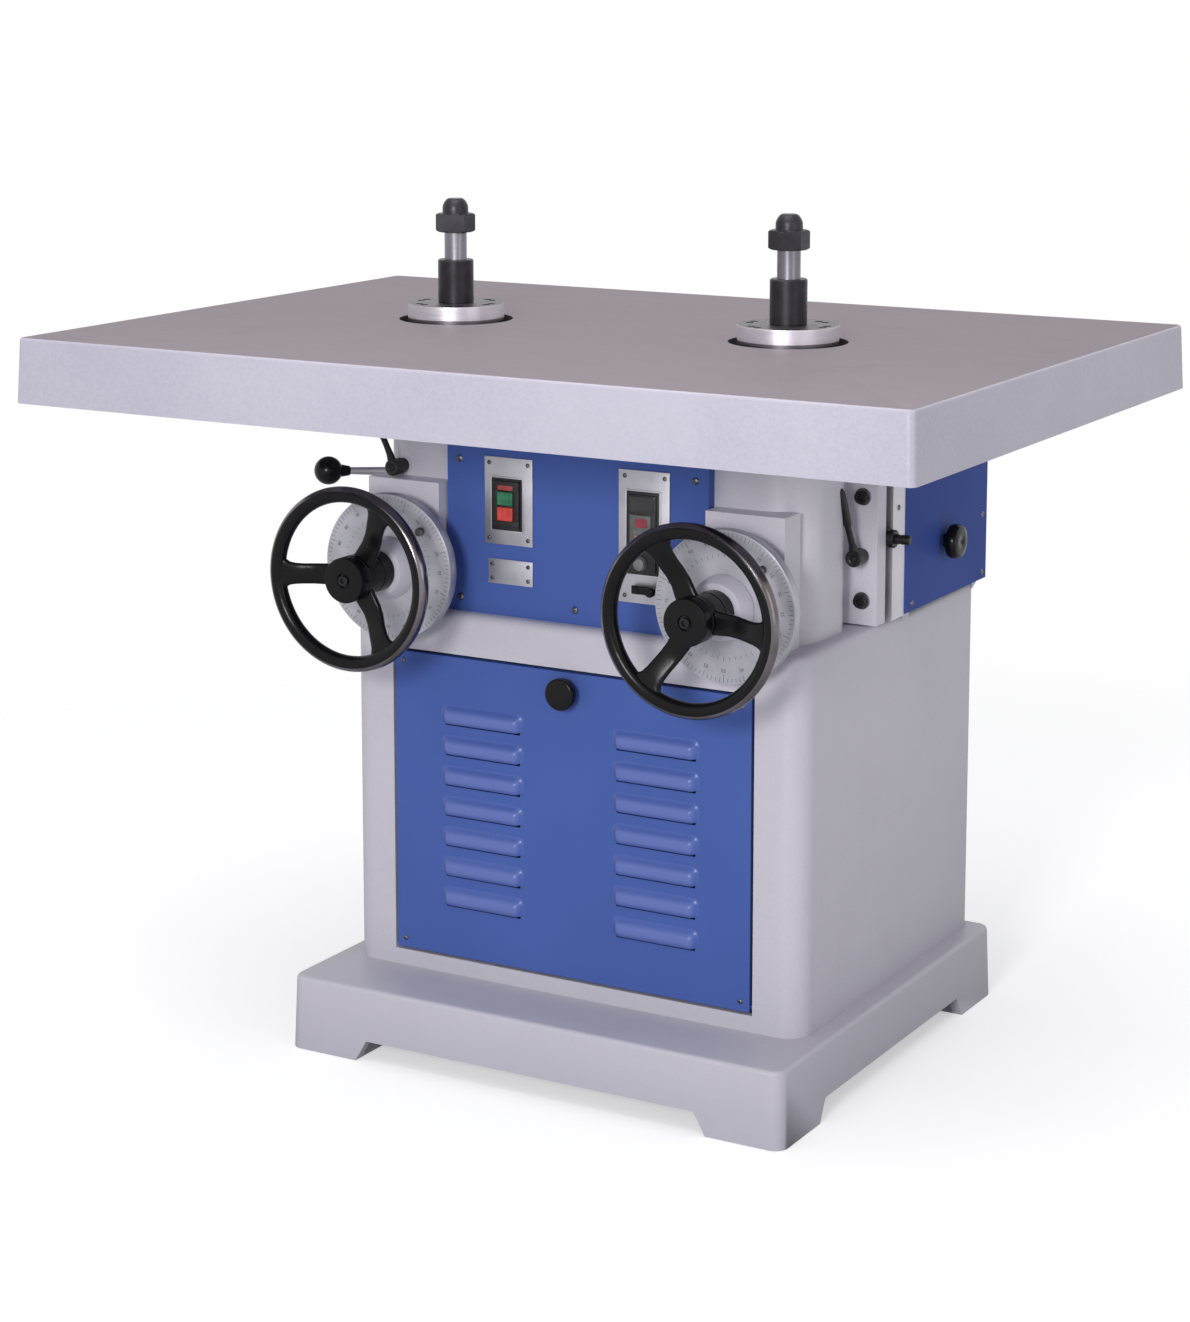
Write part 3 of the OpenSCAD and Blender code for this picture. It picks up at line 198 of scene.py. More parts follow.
# Grinding marks run along the table, 90 mm long and drawn 2 mm apart so that they show
along = add(tree, "Mapping", {}, {"Vector": place, "Scale": (11.0, 500.0, 500.0)})
marks = add(tree, "TexNoise", {}, {"Vector": along.outputs["Vector"], "Scale": 1.0, "Detail": 3.0})
sheen = add(tree, "MapRange", {}, {"Value": stain.outputs["Fac"], "From Min": 0.3, "From Max": 0.7,
                                   "To Min": 0.42, "To Max": 0.56})
sheen = add(tree, "Math", {"operation": "MULTIPLY_ADD"},
            {0: marks.outputs["Fac"], 1: 0.10, 2: sheen.outputs[0]})
bump = add(tree, "Bump", {}, {"Height": marks.outputs["Fac"], "Strength": 0.10, "Distance": 0.0003})
metal = add(tree, "BsdfPrincipled", {}, {"Base Color": tone.outputs[mix_colour], "Metallic": 0.85,
                                         "Specular Tint": srgb("#6B676B"), "Specular IOR Level": 0.2,
                                         "Roughness": sheen.outputs[0], "Normal": bump.outputs[0]})
add(tree, "OutputMaterial", {}, {"Surface": metal.outputs[0]})
# Enamel on the skirt: the same grey from another can, a little more lavender than the cabinet's
skirt_enamel = enamel("lavender_enamel_on_skirt", "#B9B6C5", "#AFACBC", roughness=0.38, peel_mm=4.5,
                      peel_depth=0.6, speckle=0.3, gloss_level=0.4)
# Bored iron of the spindle holes: grey-brown, painted dark as the shade deep in the holes
bore_painted_shade = enamel("bored_iron_painted_shade", "#3A373A", "#2C292B", roughness=0.5, peel_mm=4.0, peel_depth=0.4)
# Edges of the casting: filed round, with a painted highlight: the enamel along them is nearly white and
# glossy
edge_highlight_enamel = enamel("enamel_painted_highlight_on_edges", "#F2F1F7", "#DCDAE4", roughness=0.24, peel_mm=4.0,
                     peel_depth=0.3, speckle=0.4)
table = rounded_copy("table", "root", [skirt_enamel, ground_iron, bore_painted_shade, edge_highlight_enamel],
                     edge=0.8)
# The outline of the top and of the skirt's foot lies outside these places
outline_x, outline_front, outline_back = 620.0, -545.0, 318.0
spindle_x, spindle_y, _ = middle("collar_right")
table_top = corners("table")[1][2]
hole_r, hole_foot = 80.0, 880.0
shape = bmesh.new()
shape.from_mesh(table.data)
outline = [e for e in shape.edges
           if all(abs(v.co.x) > outline_x / 1000 or v.co.y < outline_front / 1000
                  or v.co.y > outline_back / 1000 for v in e.verts)
           and len(e.link_faces) == 2 and e.calc_face_angle() > 1.0]
# The rounded outline edges take the fourth finish, the painted highlight
bmesh.ops.bevel(shape, geom=outline, offset=0.0032, offset_type="OFFSET", segments=3, profile=0.5,
                affect="EDGES", material=3, clamp_overlap=True)
shape.to_mesh(table.data)
shape.free()
table.data.shade_smooth()
table.data.set_sharp_from_angle(angle=math.radians(35.0))
for face in table.data.polygons:
    x, y, z = 1000 * face.center
    if face.normal.z > 0.97 and z > table_top - 0.5:
        face.material_index = 1
    # The walls of the spindle holes take the painted shade
    elif math.hypot(abs(x) - spindle_x, y - spindle_y) < hole_r and z > hole_foot:
        face.material_index = 2


# Heads and ways: each head is an iron casting that carries one spindle; its ears clamp on two ways.
# Enamelled like the cabinet, with the ways planed bare and only oiled.

# Enamel on the heads: the same grey, painted a tone lighter than the cabinet's against the shade that the
# table casts on them
head_enamel_painted_light = enamel("grey_enamel_painted_lighter_on_heads", "#CFCCD5", "#C7C4CE", roughness=0.40, peel_mm=3.5,
                     peel_depth=0.5, speckle=0.2, gloss_level=0.4)
for n in ("left", "right"):
    rounded_copy("head_" + n, "root", [head_enamel_painted_light], edge=2.0)
# Planed iron: pale, with the planer's straight strokes 0.8 mm apart, drawn 2 mm apart
planed_iron, tree = finish("planed_iron_way")
place = add(tree, "TexCoord").outputs["Object"]
strokes = add(tree, "Mapping", {}, {"Vector": place, "Scale": (500.0, 500.0, 9.0)})
grain = add(tree, "TexNoise", {}, {"Vector": strokes.outputs["Vector"], "Scale": 1.0, "Detail": 3.0})
oil = add(tree, "TexNoise", {}, {"Vector": place, "Scale": 14.0, "Detail": 3.0})
tone = add(tree, "Mix", {"data_type": "RGBA"},
           {mix_share: oil.outputs["Fac"], mix_first: srgb("#CFCCD3"), mix_second: srgb("#B4B1B8")})
sheen = add(tree, "MapRange", {}, {"Value": grain.outputs["Fac"], "To Min": 0.36, "To Max": 0.52})
bump = add(tree, "Bump", {}, {"Height": grain.outputs["Fac"], "Strength": 0.12, "Distance": 0.0004})
metal = add(tree, "BsdfPrincipled", {}, {"Base Color": tone.outputs[mix_colour], "Metallic": 0.9,
                                         "Roughness": sheen.outputs[0], "Normal": bump.outputs[0]})
add(tree, "OutputMaterial", {}, {"Surface": metal.outputs[0]})
rounded_copy("way_frames", "root", [planed_iron], edge=0.8)


# Clamp bolts and table bolts: socket head screws of blackened steel, turned and chamfered.
# The clamp bolts draw the ears of each head together; the table bolts come up through the heads' flanges.

def turned(shape, outline, axis, centre, steps=48, skin=0, closed=False):
    """Turns an outline of (radius, place along the axis from the centre) in millimetres round an axis"""
    before = set(shape.faces)
    points = [shape.verts.new((radius, 0, along)) for radius, along in outline]
    rims = [shape.edges.new(pair) for pair in zip(points, points[1:])]
    if closed:
        rims.append(shape.edges.new((points[-1], points[0])))
    bmesh.ops.spin(shape, geom=points + rims, cent=(0, 0, 0), axis=(0, 0, 1), dvec=(0, 0, 0),
                   angle=math.tau, steps=steps, use_merge=True, use_normal_flip=False, use_duplicate=False)
    fresh = {v for f in shape.faces if f not in before for v in f.verts}
    bmesh.ops.remove_doubles(shape, verts=list(fresh), dist=0.0005)
    faces = [f for f in shape.faces if f not in before]
    bmesh.ops.recalc_face_normals(shape, faces=faces)
    turn = {"x": Matrix.Rotation(math.pi / 2, 4, "Y"), "y": Matrix.Rotation(-math.pi / 2, 4, "X"),
            "z": Matrix.Identity(4)}[axis]
    bmesh.ops.transform(shape, matrix=Matrix.Translation(centre) @ turn,
                        verts=list({v for f in faces for v in f.verts}))
    for face in faces:
        face.material_index = skin
    return faces


def pin(shape, axis, centre, radius, start, end, chamfer=0.5, steps=32):
    """Turned pin with chamfered ends, from start to end along its axis"""
    turned(shape, [(0, start), (radius - chamfer, start), (radius, start + chamfer),
                   (radius, end - chamfer), (radius - chamfer, end), (0, end)], axis, centre, steps=steps)


def socket_screw(shape, axis, centre, radius, top, under, skin=0):
    """Head of a socket screw: chamfered drum whose top, the end first named, is sunk for a hexagon key"""
    side = 1 if top > under else -1
    key, deep = radius * 0.52, abs(top - under) * 0.5
    turned(shape, [(0, under), (radius - 0.3, under), (radius, under + side * 0.3),
                   (radius, top - side * 0.9), (radius - 0.9, top), (key * 1.12, top),
                   (key, top - side * 0.4), (key, top - side * deep), (0, top - side * deep)],
           axis, centre, steps=24, skin=skin)


def piece(name, shape, body, finishes, stands_for=(), edge=0.0, sharp=32.0):
    """Dresses a shape that is drawn in millimetres"""
    bmesh.ops.scale(shape, vec=Vector((0.001, 0.001, 0.001)), verts=shape.verts)
    return dress(name, shape, body, finishes, stands_for, edge, sharp)


def metal_finish(name, light, dark, rough, blotch_mm, grain_mm, relief=0.1, metallic=1.0, ior=1.5,
                 round_z=1.0):
    """Metal or moulding whose colour drifts between two tones in blotches, with a finer grain in its
    roughness; a small round_z draws the grain out into rings round an upright axis"""
    material, tree = finish(name)
    place = add(tree, "TexCoord").outputs["Object"]
    blotch = add(tree, "TexNoise", {}, {"Vector": place, "Scale": 1000 / blotch_mm, "Detail": 4.0})
    worn = add(tree, "ValToRGB", {}, {"Fac": blotch.outputs["Fac"]}, [(0.35, 0.0), (0.65, 1.0)])
    tone = add(tree, "Mix", {"data_type": "RGBA"},
               {mix_share: worn.outputs["Color"], mix_first: srgb(light), mix_second: srgb(dark)})
    drawn = add(tree, "Mapping", {}, {"Vector": place, "Scale": (round_z, round_z, 1.0)})
    grain = add(tree, "TexNoise", {}, {"Vector": drawn.outputs["Vector"], "Scale": 1000 / grain_mm,
                                       "Detail": 2.0})
    sheen = add(tree, "MapRange", {}, {"Value": grain.outputs["Fac"], "From Min": 0.3, "From Max": 0.7,
                                       "To Min": rough * 0.85, "To Max": rough * 1.2})
    bump = add(tree, "Bump", {}, {"Height": grain.outputs["Fac"], "Strength": relief, "Distance": 0.0002})
    metal = add(tree, "BsdfPrincipled", {}, {"Base Color": tone.outputs[mix_colour], "Metallic": metallic,
                                             "IOR": ior, "Roughness": sheen.outputs[0],
                                             "Normal": bump.outputs[0]})
    add(tree, "OutputMaterial", {}, {"Surface": metal.outputs[0]})
    return material


# Blackened steel: oil-quenched, near black with a brown cast, thinner where hands and keys rub it
black_steel = metal_finish("blackened_steel_screw", "#29272B", "#1C1B1E", rough=0.40, blotch_mm=9.0,
                           grain_mm=1.5, relief=0.05, metallic=0.6)
# Washers: the same steel rubbed half bright by the turning screws
dull_steel = metal_finish("dull_steel_washer", "#7B797E", "#5C5A5F", rough=0.38, blotch_mm=6.0, grain_mm=1.5,
                          relief=0.05)
ear_face, clamp_columns, clamp_rows = -29.0, (169.0, 327.0), (634.0, 694.0, 771.0)
bolts = bmesh.new()
for side in (-1, 1):
    for x in clamp_columns:
        for z in clamp_rows:
            # A ratchet lever stands in for this bolt
            if (side, x, z) == (1, 327.0, 694.0):
                continue
            spot = (side * x, ear_face, z)
            turned(bolts, [(0, 0), (11.4, 0), (11.4, -1.6), (10.8, -2.2), (0, -2.2)], "y", spot,
                   steps=32, skin=1)
            socket_screw(bolts, "y", spot, radius=8.8, top=-10.0, under=-2.0)
            pin(bolts, "y", spot, radius=6.0, start=-2.0, end=75.0)
piece("clamp_bolts_turned", bolts, "root", [black_steel, dull_steel], ["clamp_bolts"])
flange_foot = 875.0
bolts = bmesh.new()
for x in (-165.0, -335.0, 165.0, 335.0):
    for y in (-160.0, -60.0):
        socket_screw(bolts, "z", (x, y, flange_foot), radius=8.0, top=-10.0, under=0.0)
        pin(bolts, "z", (x, y, flange_foot), radius=5.0, start=-1.0, end=50.0)
piece("table_bolts_turned", bolts, "root", [black_steel], ["table_bolts"])


# Front door: folded steel sheet with two rows of pressed louvres, hung on two pins at its foot.
# Sprayed blue in the same semi-gloss machine enamel as the panel and the covers.

def slab(shape, low, high, edge=0.0, segments=2, skin=0):
    """Rectangular block between two corners, its edges rounded"""
    before = set(shape.faces)
    centre = [(a + b) / 2 for a, b in zip(low, high)]
    size = Matrix.Diagonal([b - a for a, b in zip(low, high)] + [1])
    block = bmesh.ops.create_cube(shape, size=1.0, matrix=Matrix.Translation(centre) @ size)["verts"]
    if edge:
        bmesh.ops.bevel(shape, geom=list({e for v in block for e in v.link_edges}), offset=edge,
                        segments=segments, affect="EDGES", profile=0.5, material=-1, clamp_overlap=True)
    for face in shape.faces:
        if face not in before:
            face.material_index = skin


def hood(shape, left, right, foot, height, sheet_face, out):
    """Hood of a louvre, pressed out of a sheet: fullest in its lower half, with a rounded nose
    below, a long fade above and rounded ends that rise a little"""
    round_end, end_rise, nose_top, fade_foot = 14.0, 4.5, 0.3, 0.45
    root, lip_fold = sheet_face + 0.4, 1.4
    before = set(shape.verts)
    bmesh.ops.create_grid(shape, x_segments=44, y_segments=18, size=0.5)
    for v in [v for v in shape.verts if v not in before]:
        x = left + (v.co.x + 0.5) * (right - left)
        up = v.co.y + 0.5
        across = min((x - left) / round_end, (right - x) / round_end, 1.0)
        nose = 0.5 + 0.5 * math.sin(min(up / nose_top, 1.0) * math.pi / 2)
        faded = max(up - fade_foot, 0.0) / (1.0 - fade_foot)
        fade = (1.0 + math.cos(faded * math.pi)) / 2
        rise = end_rise * (1.0 - across) ** 2 * (1.0 - up)
        bulge = out * nose * fade * across * across * (3.0 - 2.0 * across)
        v.co = (x, root - bulge, foot + rise + up * height)
    lip = [e for e in shape.edges
           if all(v not in before and v.co.z < foot + end_rise + 0.1 for v in e.verts)
           and len(e.link_faces) == 1]
    for v in bmesh.ops.extrude_edge_only(shape, edges=lip)["geom"]:
        if isinstance(v, bmesh.types.BMVert):
            v.co.y = min(v.co.y + lip_fold, root)
            v.co.z += 0.3


# Blue enamel on sheet steel: smooth and semi-glossy, with broad slow waves of the sheet in its reflections
blue_enamel = enamel("blue_enamel_on_sheet", "#4A61A5", "#455B9D", roughness=0.36, peel_mm=9.0,
                     peel_depth=0.2, gloss_level=0.4, ior=1.17)
# The same enamel on the pressed louvres, with a painted highlight: paler the further a hood stands out
louvre_enamel_painted_highlight = enamel("blue_enamel_painted_highlight_on_louvres", "#485FA7", "#43599F", roughness=0.28, peel_mm=9.0,
                       peel_depth=0.2, ior=1.4, painted_light_tone=(1, -0.2270, -0.2336, "#6171B2"))
door_face, door_half, door_foot, door_top, door_sheet = -225.5, 268.0, 127.0, 540.0, 3.0
louvre_x, hood_half, slot_half, hood_high, hood_out = 131.0, 65.0, 58.0, 28.0, 8.8
louvre_feet = [449.0 - 41.8 * row for row in range(7)]
# The slot under each hood, from below its foot to behind its nose
slots = [(foot - 2.8, foot + 9.0) for foot in louvre_feet]
door = bmesh.new()
bmesh.ops.create_grid(door, x_segments=1, y_segments=1, size=0.5,
                      matrix=Matrix.Translation((0, door_face, (door_foot + door_top) / 2))
                      @ Matrix.Diagonal((2 * door_half, 1, door_top - door_foot, 1))
                      @ Matrix.Rotation(math.pi / 2, 4, "X"))
cuts = [(side * louvre_x + end, "x") for side in (-1, 1) for end in (-slot_half, slot_half)]
cuts += [(z, "z") for slot in slots for z in slot]
for at, across in cuts:
    bmesh.ops.bisect_plane(door, geom=door.verts[:] + door.edges[:] + door.faces[:],
                           plane_co=(at, 0, at), plane_no=(across == "x", 0, across == "z"))
cut_out = []
for face in door.faces:
    x, _, z = face.calc_center_median()
    if abs(abs(x) - louvre_x) < slot_half and any(low < z < high for low, high in slots):
        cut_out.append(face)
bmesh.ops.delete(door, geom=cut_out, context="FACES")
bmesh.ops.recalc_face_normals(door, faces=door.faces)
for face in [f for f in door.faces if f.normal.y > 0]:
    face.normal_flip()
bmesh.ops.solidify(door, geom=door.faces[:], thickness=door_sheet)
# Folds along the four edges, set in a little so that the rounding of the sheet stays free
fold_front, fold_back, inset = -222.85, -207.5, 0.15
fold_x, fold_foot, fold_top = door_half - inset, door_foot + inset, door_top - inset
inner_x = door_half - door_sheet
for (left, foot), (right, top) in (((-fold_x, fold_foot), (-inner_x, fold_top)),
                                   ((inner_x, fold_foot), (fold_x, fold_top)),
                                   ((-fold_x, fold_foot), (fold_x, door_foot + door_sheet - inset)),
                                   ((-fold_x, door_top - door_sheet), (fold_x, fold_top))):
    slab(door, (left, fold_front, foot), (right, fold_back, top))
for start, end in ((-284.0, -264.0), (264.0, 284.0)):
    pin(door, "x", (0, -219.0, 133.0), radius=2.5, start=start, end=end)
piece("front_door_sheet", door, "front_door", [blue_enamel], ["front_door"], edge=1.0)
hoods = bmesh.new()
for foot in louvre_feet:
    for x in (-louvre_x, louvre_x):
        hood(hoods, x - hood_half, x + hood_half, foot, hood_high, door_face, hood_out)
bmesh.ops.recalc_face_normals(hoods, faces=hoods.faces)
piece("front_door_louvres", hoods, "front_door", [louvre_enamel_painted_highlight], sharp=50.0)

# Phenolic moulding: hard black resin, polished in the mould, dulled a little by hands
phenolic, tree = finish("moulded_black_phenolic")
place = add(tree, "TexCoord").outputs["Object"]
handled = add(tree, "TexNoise", {}, {"Vector": place, "Scale": 60.0, "Detail": 3.0})
gloss = add(tree, "MapRange", {}, {"Value": handled.outputs["Fac"], "From Min": 0.3, "From Max": 0.7,
                                   "To Min": 0.20, "To Max": 0.27})
tone = add(tree, "Mix", {"data_type": "RGBA"},
           {mix_share: handled.outputs["Fac"], mix_first: srgb("#0B0A0C"), mix_second: srgb("#100F11")})
ripple = add(tree, "TexNoise", {}, {"Vector": place, "Scale": 300.0})
bump = add(tree, "Bump", {}, {"Height": ripple.outputs["Fac"], "Strength": 0.02, "Distance": 0.0001})
resin = add(tree, "BsdfPrincipled", {}, {"Base Color": tone.outputs[mix_colour], "IOR": 1.28,
                                         "Roughness": gloss.outputs[0], "Normal": bump.outputs[0]})
add(tree, "OutputMaterial", {}, {"Surface": resin.outputs[0]})
knob_x, _, knob_z = middle("door_knob")
knob_face = corners("door_knob")[0][1]
knob = bmesh.new()
turned(knob, [(0, 0.2), (4.0, 0.2), (6.0, 0), (18.6, 0), (20.2, 0.5), (21.0, 1.7), (21.0, 9.5), (20.2, 11.1),
              (18.0, 11.9), (7.6, 12.0), (7.0, 13.0), (7.0, 22.9), (7.8, 24.0), (5.0, 24.0), (5.0, 33.0),
              (0, 33.0)], "y", (knob_x, knob_face, knob_z), steps=64)
piece("door_knob_turned", knob, "front_door", [phenolic], ["door_knob"], sharp=40.0)


def round_head_screw(shape, axis, spot, out, radius, rise, shank, deep):
    """Round-head screw in the surface at a spot: a domed head with a sunk drive that rises to the side of
    out, 1 or -1, and its shank below"""
    top = out * rise
    turned(shape, [(0, top * 0.45), (radius * 0.22, top * 0.5), (radius * 0.34, top),
                   (radius * 0.62, top * 0.88), (radius * 0.9, top * 0.5), (radius, 0), (0, 0)],
           axis, spot, steps=16)
    pin(shape, axis, spot, shank, *sorted((-out * 0.2, -out * deep)), steps=12)


# Zinc-plated screws: bright, a little blue, dulled in the drive
zinc = metal_finish("zinc_plated_screw", "#7C7B81", "#4E4D52", rough=0.32, blotch_mm=4.0, grain_mm=1.0)
screws = bmesh.new()
for x in (-255.0, 255.0):
    for z in (140.0, 527.0):
        round_head_screw(screws, "y", (x, door_face, z), out=-1, radius=3.6, rise=1.8, shank=2.5, deep=7.0)
piece("door_screws_turned", screws, "front_door", [zinc], ["door_screws"], sharp=45.0)


# Front panel: a box of blue sheet between the heads that carries the switches.
# It is folded from one sheet, sprayed like the door and held by five screws.
rounded_copy("front_panel", "root", [blue_enamel], edge=1.2)


# Switch plates: aluminium sheet with a raised bead round each switch, screwed on at the corners.
# The small plate below the left one is blank.

# Rolled aluminium sheet: satin, with rolling lines drawn 1.5 mm apart and dull finger marks
sheet_aluminium, tree = finish("rolled_aluminium_plate")
place = add(tree, "TexCoord").outputs["Object"]
rolled = add(tree, "Mapping", {}, {"Vector": place, "Scale": (30.0, 30.0, 700.0)})
lines = add(tree, "TexNoise", {}, {"Vector": rolled.outputs["Vector"], "Scale": 1.0, "Detail": 3.0})
prints = add(tree, "TexNoise", {}, {"Vector": place, "Scale": 45.0, "Detail": 4.0})
tone = add(tree, "Mix", {"data_type": "RGBA"},
           {mix_share: prints.outputs["Fac"], mix_first: srgb("#C6C4CB"), mix_second: srgb("#A8A6AD")})
sheen = add(tree, "MapRange", {}, {"Value": lines.outputs["Fac"], "To Min": 0.34, "To Max": 0.50})
metal = add(tree, "BsdfPrincipled", {}, {"Base Color": tone.outputs[mix_colour], "Metallic": 0.8,
                                         "Roughness": sheen.outputs[0]})
add(tree, "OutputMaterial", {}, {"Surface": metal.outputs[0]})


def bead(shape, left, right, foot, top, sheet_face):
    """Rectangular frame bent from a half-round bead, open in the middle, on the face of a sheet"""
    wide, front, back = 2.2, sheet_face - 1.6, sheet_face + 0.2
    for low_x, low_z, high_x, high_z in ((left - wide, foot - wide, left, top + wide),
                                         (right, foot - wide, right + wide, top + wide),
                                         (left - 0.2, foot - wide, right + 0.2, foot),
                                         (left - 0.2, top, right + 0.2, top + wide)):
        slab(shape, (low_x, front, low_z), (high_x, back, high_z), 0.4)


# The plates' backs sink a hair into the panel, so that no gap shows
plate_face, plate_back = -208.0, -205.95
plates = bmesh.new()
for left, right, foot, top in ((-136.0, -63.0, 696.0, 812.0), (66.0, 140.0, 639.0, 812.0),
                               (-131.0, -63.0, 643.0, 676.0)):
    slab(plates, (left, plate_face, foot), (right, plate_back, top), 0.35)
bead(plates, -124.6, -78.0, 715.4, 784.6, plate_face)
bead(plates, 78.2, 125.8, 677.0, 785.0, plate_face)
piece("switch_plates_sheet", plates, "root", [sheet_aluminium], ["switch_plates"])
screws = bmesh.new()
for x, z in ((-129, 704), (-70, 704), (-129, 804), (-70, 804), (75, 648), (133, 648), (75, 804), (133, 804),
             (-125, 650), (-70, 650), (-125, 669), (-70, 669)):
    round_head_screw(screws, "y", (x, plate_face, z), out=-1, radius=3.0, rise=1.5, shank=1.5, deep=1.8)
piece("plate_screws_turned", screws, "root", [zinc], ["plate_screws"], sharp=45.0)


# Starter of the left spindle: black moulded housing in the plate, a green and a red push button,
# and a red strip above them that lights while the motor runs.

# ABS moulding: matt black, spark-eroded grain drawn 1.2 mm apart
grained_abs = metal_finish("moulded_black_abs", "#1D1D1F", "#262528", rough=0.42, blotch_mm=12.0,
                           grain_mm=1.2, relief=0.2, metallic=0.0, ior=1.4)
# Green and red button caps and the red lamp strip: dyed plastic, glossy, greyed by thumbs
green_cap, red_cap = [
    metal_finish("moulded_%s_cap" % dye, light, dark, rough=0.33, blotch_mm=7.0, grain_mm=2.0, metallic=0.0)
    for dye, light, dark in (("green", "#2C7A55", "#245E44"), ("red", "#D8483F", "#B93D37"))]
red_strip = metal_finish("red_lamp_strip", "#A9423D", "#8B3834", rough=0.28, blotch_mm=5.0, grain_mm=2.0,
                         metallic=0.0)
(left, face, foot), (right, back, top) = corners("starter")
housing = bmesh.new()
# The frame's foot, head and two sides, the bar between the buttons, and the block behind them
slab(housing, (left, face, foot), (right, back, foot + 9.5), 0.8)
slab(housing, (left, face, top - 13.0), (right, back, top), 0.8)
slab(housing, (left, face, foot + 9.0), (left + 7.8, back, top - 12.0), 0.6)
slab(housing, (right - 7.85, face, foot + 9.0), (right, back, top - 12.0), 0.6)
slab(housing, (left + 7.0, face, 747.3), (right - 6.5, face + 20.0, 749.2), 0.2)
slab(housing, (left + 2.0, face + 14.0, foot + 2.0), (right - 1.5, back - 1.0, top - 2.0))
slab(housing, (-112.8, face - 0.7, 769.4), (-89.8, face + 1.0, 775.8), 0.4, skin=1)
# A thin rim lies on the plate round the housing, inside the bead
rim_face, rim_back = plate_face - 1.0, plate_face + 0.1
for low_x, low_z, high_x, high_z in ((-124.4, 715.6, -120.5, 784.4), (-82.0, 715.6, -78.2, 784.4),
                                     (-121.0, 715.6, -81.0, 719.5), (-121.0, 780.5, -81.0, 784.4)):
    slab(housing, (low_x, rim_face, low_z), (high_x, rim_back, high_z), 0.2)
piece("starter_housing", housing, "root", [grained_abs, red_strip], ["starter"])
for name, cap, slot in (("start_button", green_cap, "green_plastic"),
                        ("stop_button", red_cap, "red_plastic")):
    button = bmesh.new()
    slab(button, *corners(name), 1.4, 3)
    dish = [f for f in button.faces if f.normal.y < -0.99]
    bmesh.ops.inset_region(button, faces=dish, thickness=1.6, depth=-0.5)
    piece(name + "_cap", button, name, [cap], [name], sharp=50.0)


# Speed controller of the right spindle: black housing with a glossy window, a grey keypad with a
# red display and three small lamps, and a grey knob below; a change-over lever sits under it.

# Window of clear acrylic over black: mirror gloss with faint wiping marks
window = metal_finish("black_acrylic_window", "#1C1B1F", "#242327", rough=0.12, blotch_mm=20.0, grain_mm=6.0,
                      relief=0.02, metallic=0.0)
# Keypad foil: grey, matt, with a fine print grain
keypad_skin = metal_finish("grey_keypad_foil", "#5E615F", "#505451", rough=0.45, blotch_mm=8.0, grain_mm=1.2,
                           relief=0.15, metallic=0.0)
# Display and lamps: dyed clear plastic, glossy
display_red = metal_finish("red_display_window", "#9E2C3A", "#7A2230", rough=0.18, blotch_mm=3.0,
                           grain_mm=1.5, relief=0.05, metallic=0.0)
lamp_green, lamp_amber = [
    metal_finish(dye + "_indicator_lens", light, dark, rough=0.2, blotch_mm=3.0, grain_mm=1.5, relief=0.05,
                 metallic=0.0)
    for dye, light, dark in (("green", "#3C9A50", "#2F7C40"), ("amber", "#C98634", "#A66D28"))]
# Moulded keys and knob: mid grey, satin
grey_moulding = metal_finish("moulded_grey_plastic", "#77767A", "#66656A", rough=0.42, blotch_mm=8.0,
                             grain_mm=1.2, relief=0.15, metallic=0.0)
face, key_face, key_back = -212.0, -213.9, -213.0
box = bmesh.new()
slab(box, (82.0, face, 681.0), (122.0, face + 46.0, 781.0), 0.9)
slab(box, (78.4, rim_face, 677.2), (125.6, rim_back, 784.8), 0.2)
slab(box, (84.0, face - 0.6, 758.0), (120.0, face + 1.0, 779.0), 0.5, skin=1)
slab(box, (85.0, face - 1.5, 719.0), (115.5, face + 1.0, 755.0), 0.6, skin=2)
slab(box, (93.5, key_face, 739.0), (110.5, key_back, 750.5), 0.25, skin=3)
for x, skin in ((92.0, 4), (98.5, 5), (105.0, 5)):
    slab(box, (x, key_face, 725.0), (x + 4.0, key_back, 728.2), 0.25, skin=skin)
for x in (90.5, 97.5, 104.5):
    slab(box, (x, key_face, 731.0), (x + 5.0, key_back, 735.0), 0.25, skin=6)
piece("controller_housing", box, "root",
      [grained_abs, window, keypad_skin, display_red, lamp_amber, lamp_green, grey_moulding],
      ["controller"])
knob_x, _, knob_z = middle("speed_knob")
knob = bmesh.new()
turned(knob, [(0, -8.0), (6.6, -8.0), (7.6, -7.4), (9.5, -2.4), (9.5, -0.4), (3.0, -0.3), (3.0, 9.0),
              (0, 9.0)], "y", (knob_x, face, knob_z), steps=40)
slab(knob, (knob_x - 0.6, face - 8.3, knob_z), (knob_x + 0.6, face - 7.6, knob_z + 6.2), 0.2)
piece("speed_knob_turned", knob, "speed_knob", [grey_moulding], ["speed_knob"])
# The lever stands clear of the bead that it passes over when it turns
face, pivot_x, grip_x, lever_z = -209.8, 94.0, 118.0, 657.5
lever = bmesh.new()
slab(lever, (88.0, face - 5.0, 652.0), (116.0, face, 663.0), 1.4, 3)
turned(lever, [(0, -13.8), (3.2, -13.8), (5.6, -12.8), (6.5, -10.8), (6.3, -4.0), (5.4, 0), (0, 0)],
       "y", (grip_x, face, lever_z), steps=32)
pin(lever, "y", (pivot_x, face, lever_z), radius=4.0, start=-0.6, end=15.8)
turned(lever, [(0, -5.8), (3.6, -5.8), (4.4, -5.0), (0, -5.0)], "y", (pivot_x, face, lever_z), steps=24)
piece("changeover_lever_moulded", lever, "changeover_lever", [phenolic],
      ["changeover_lever"])
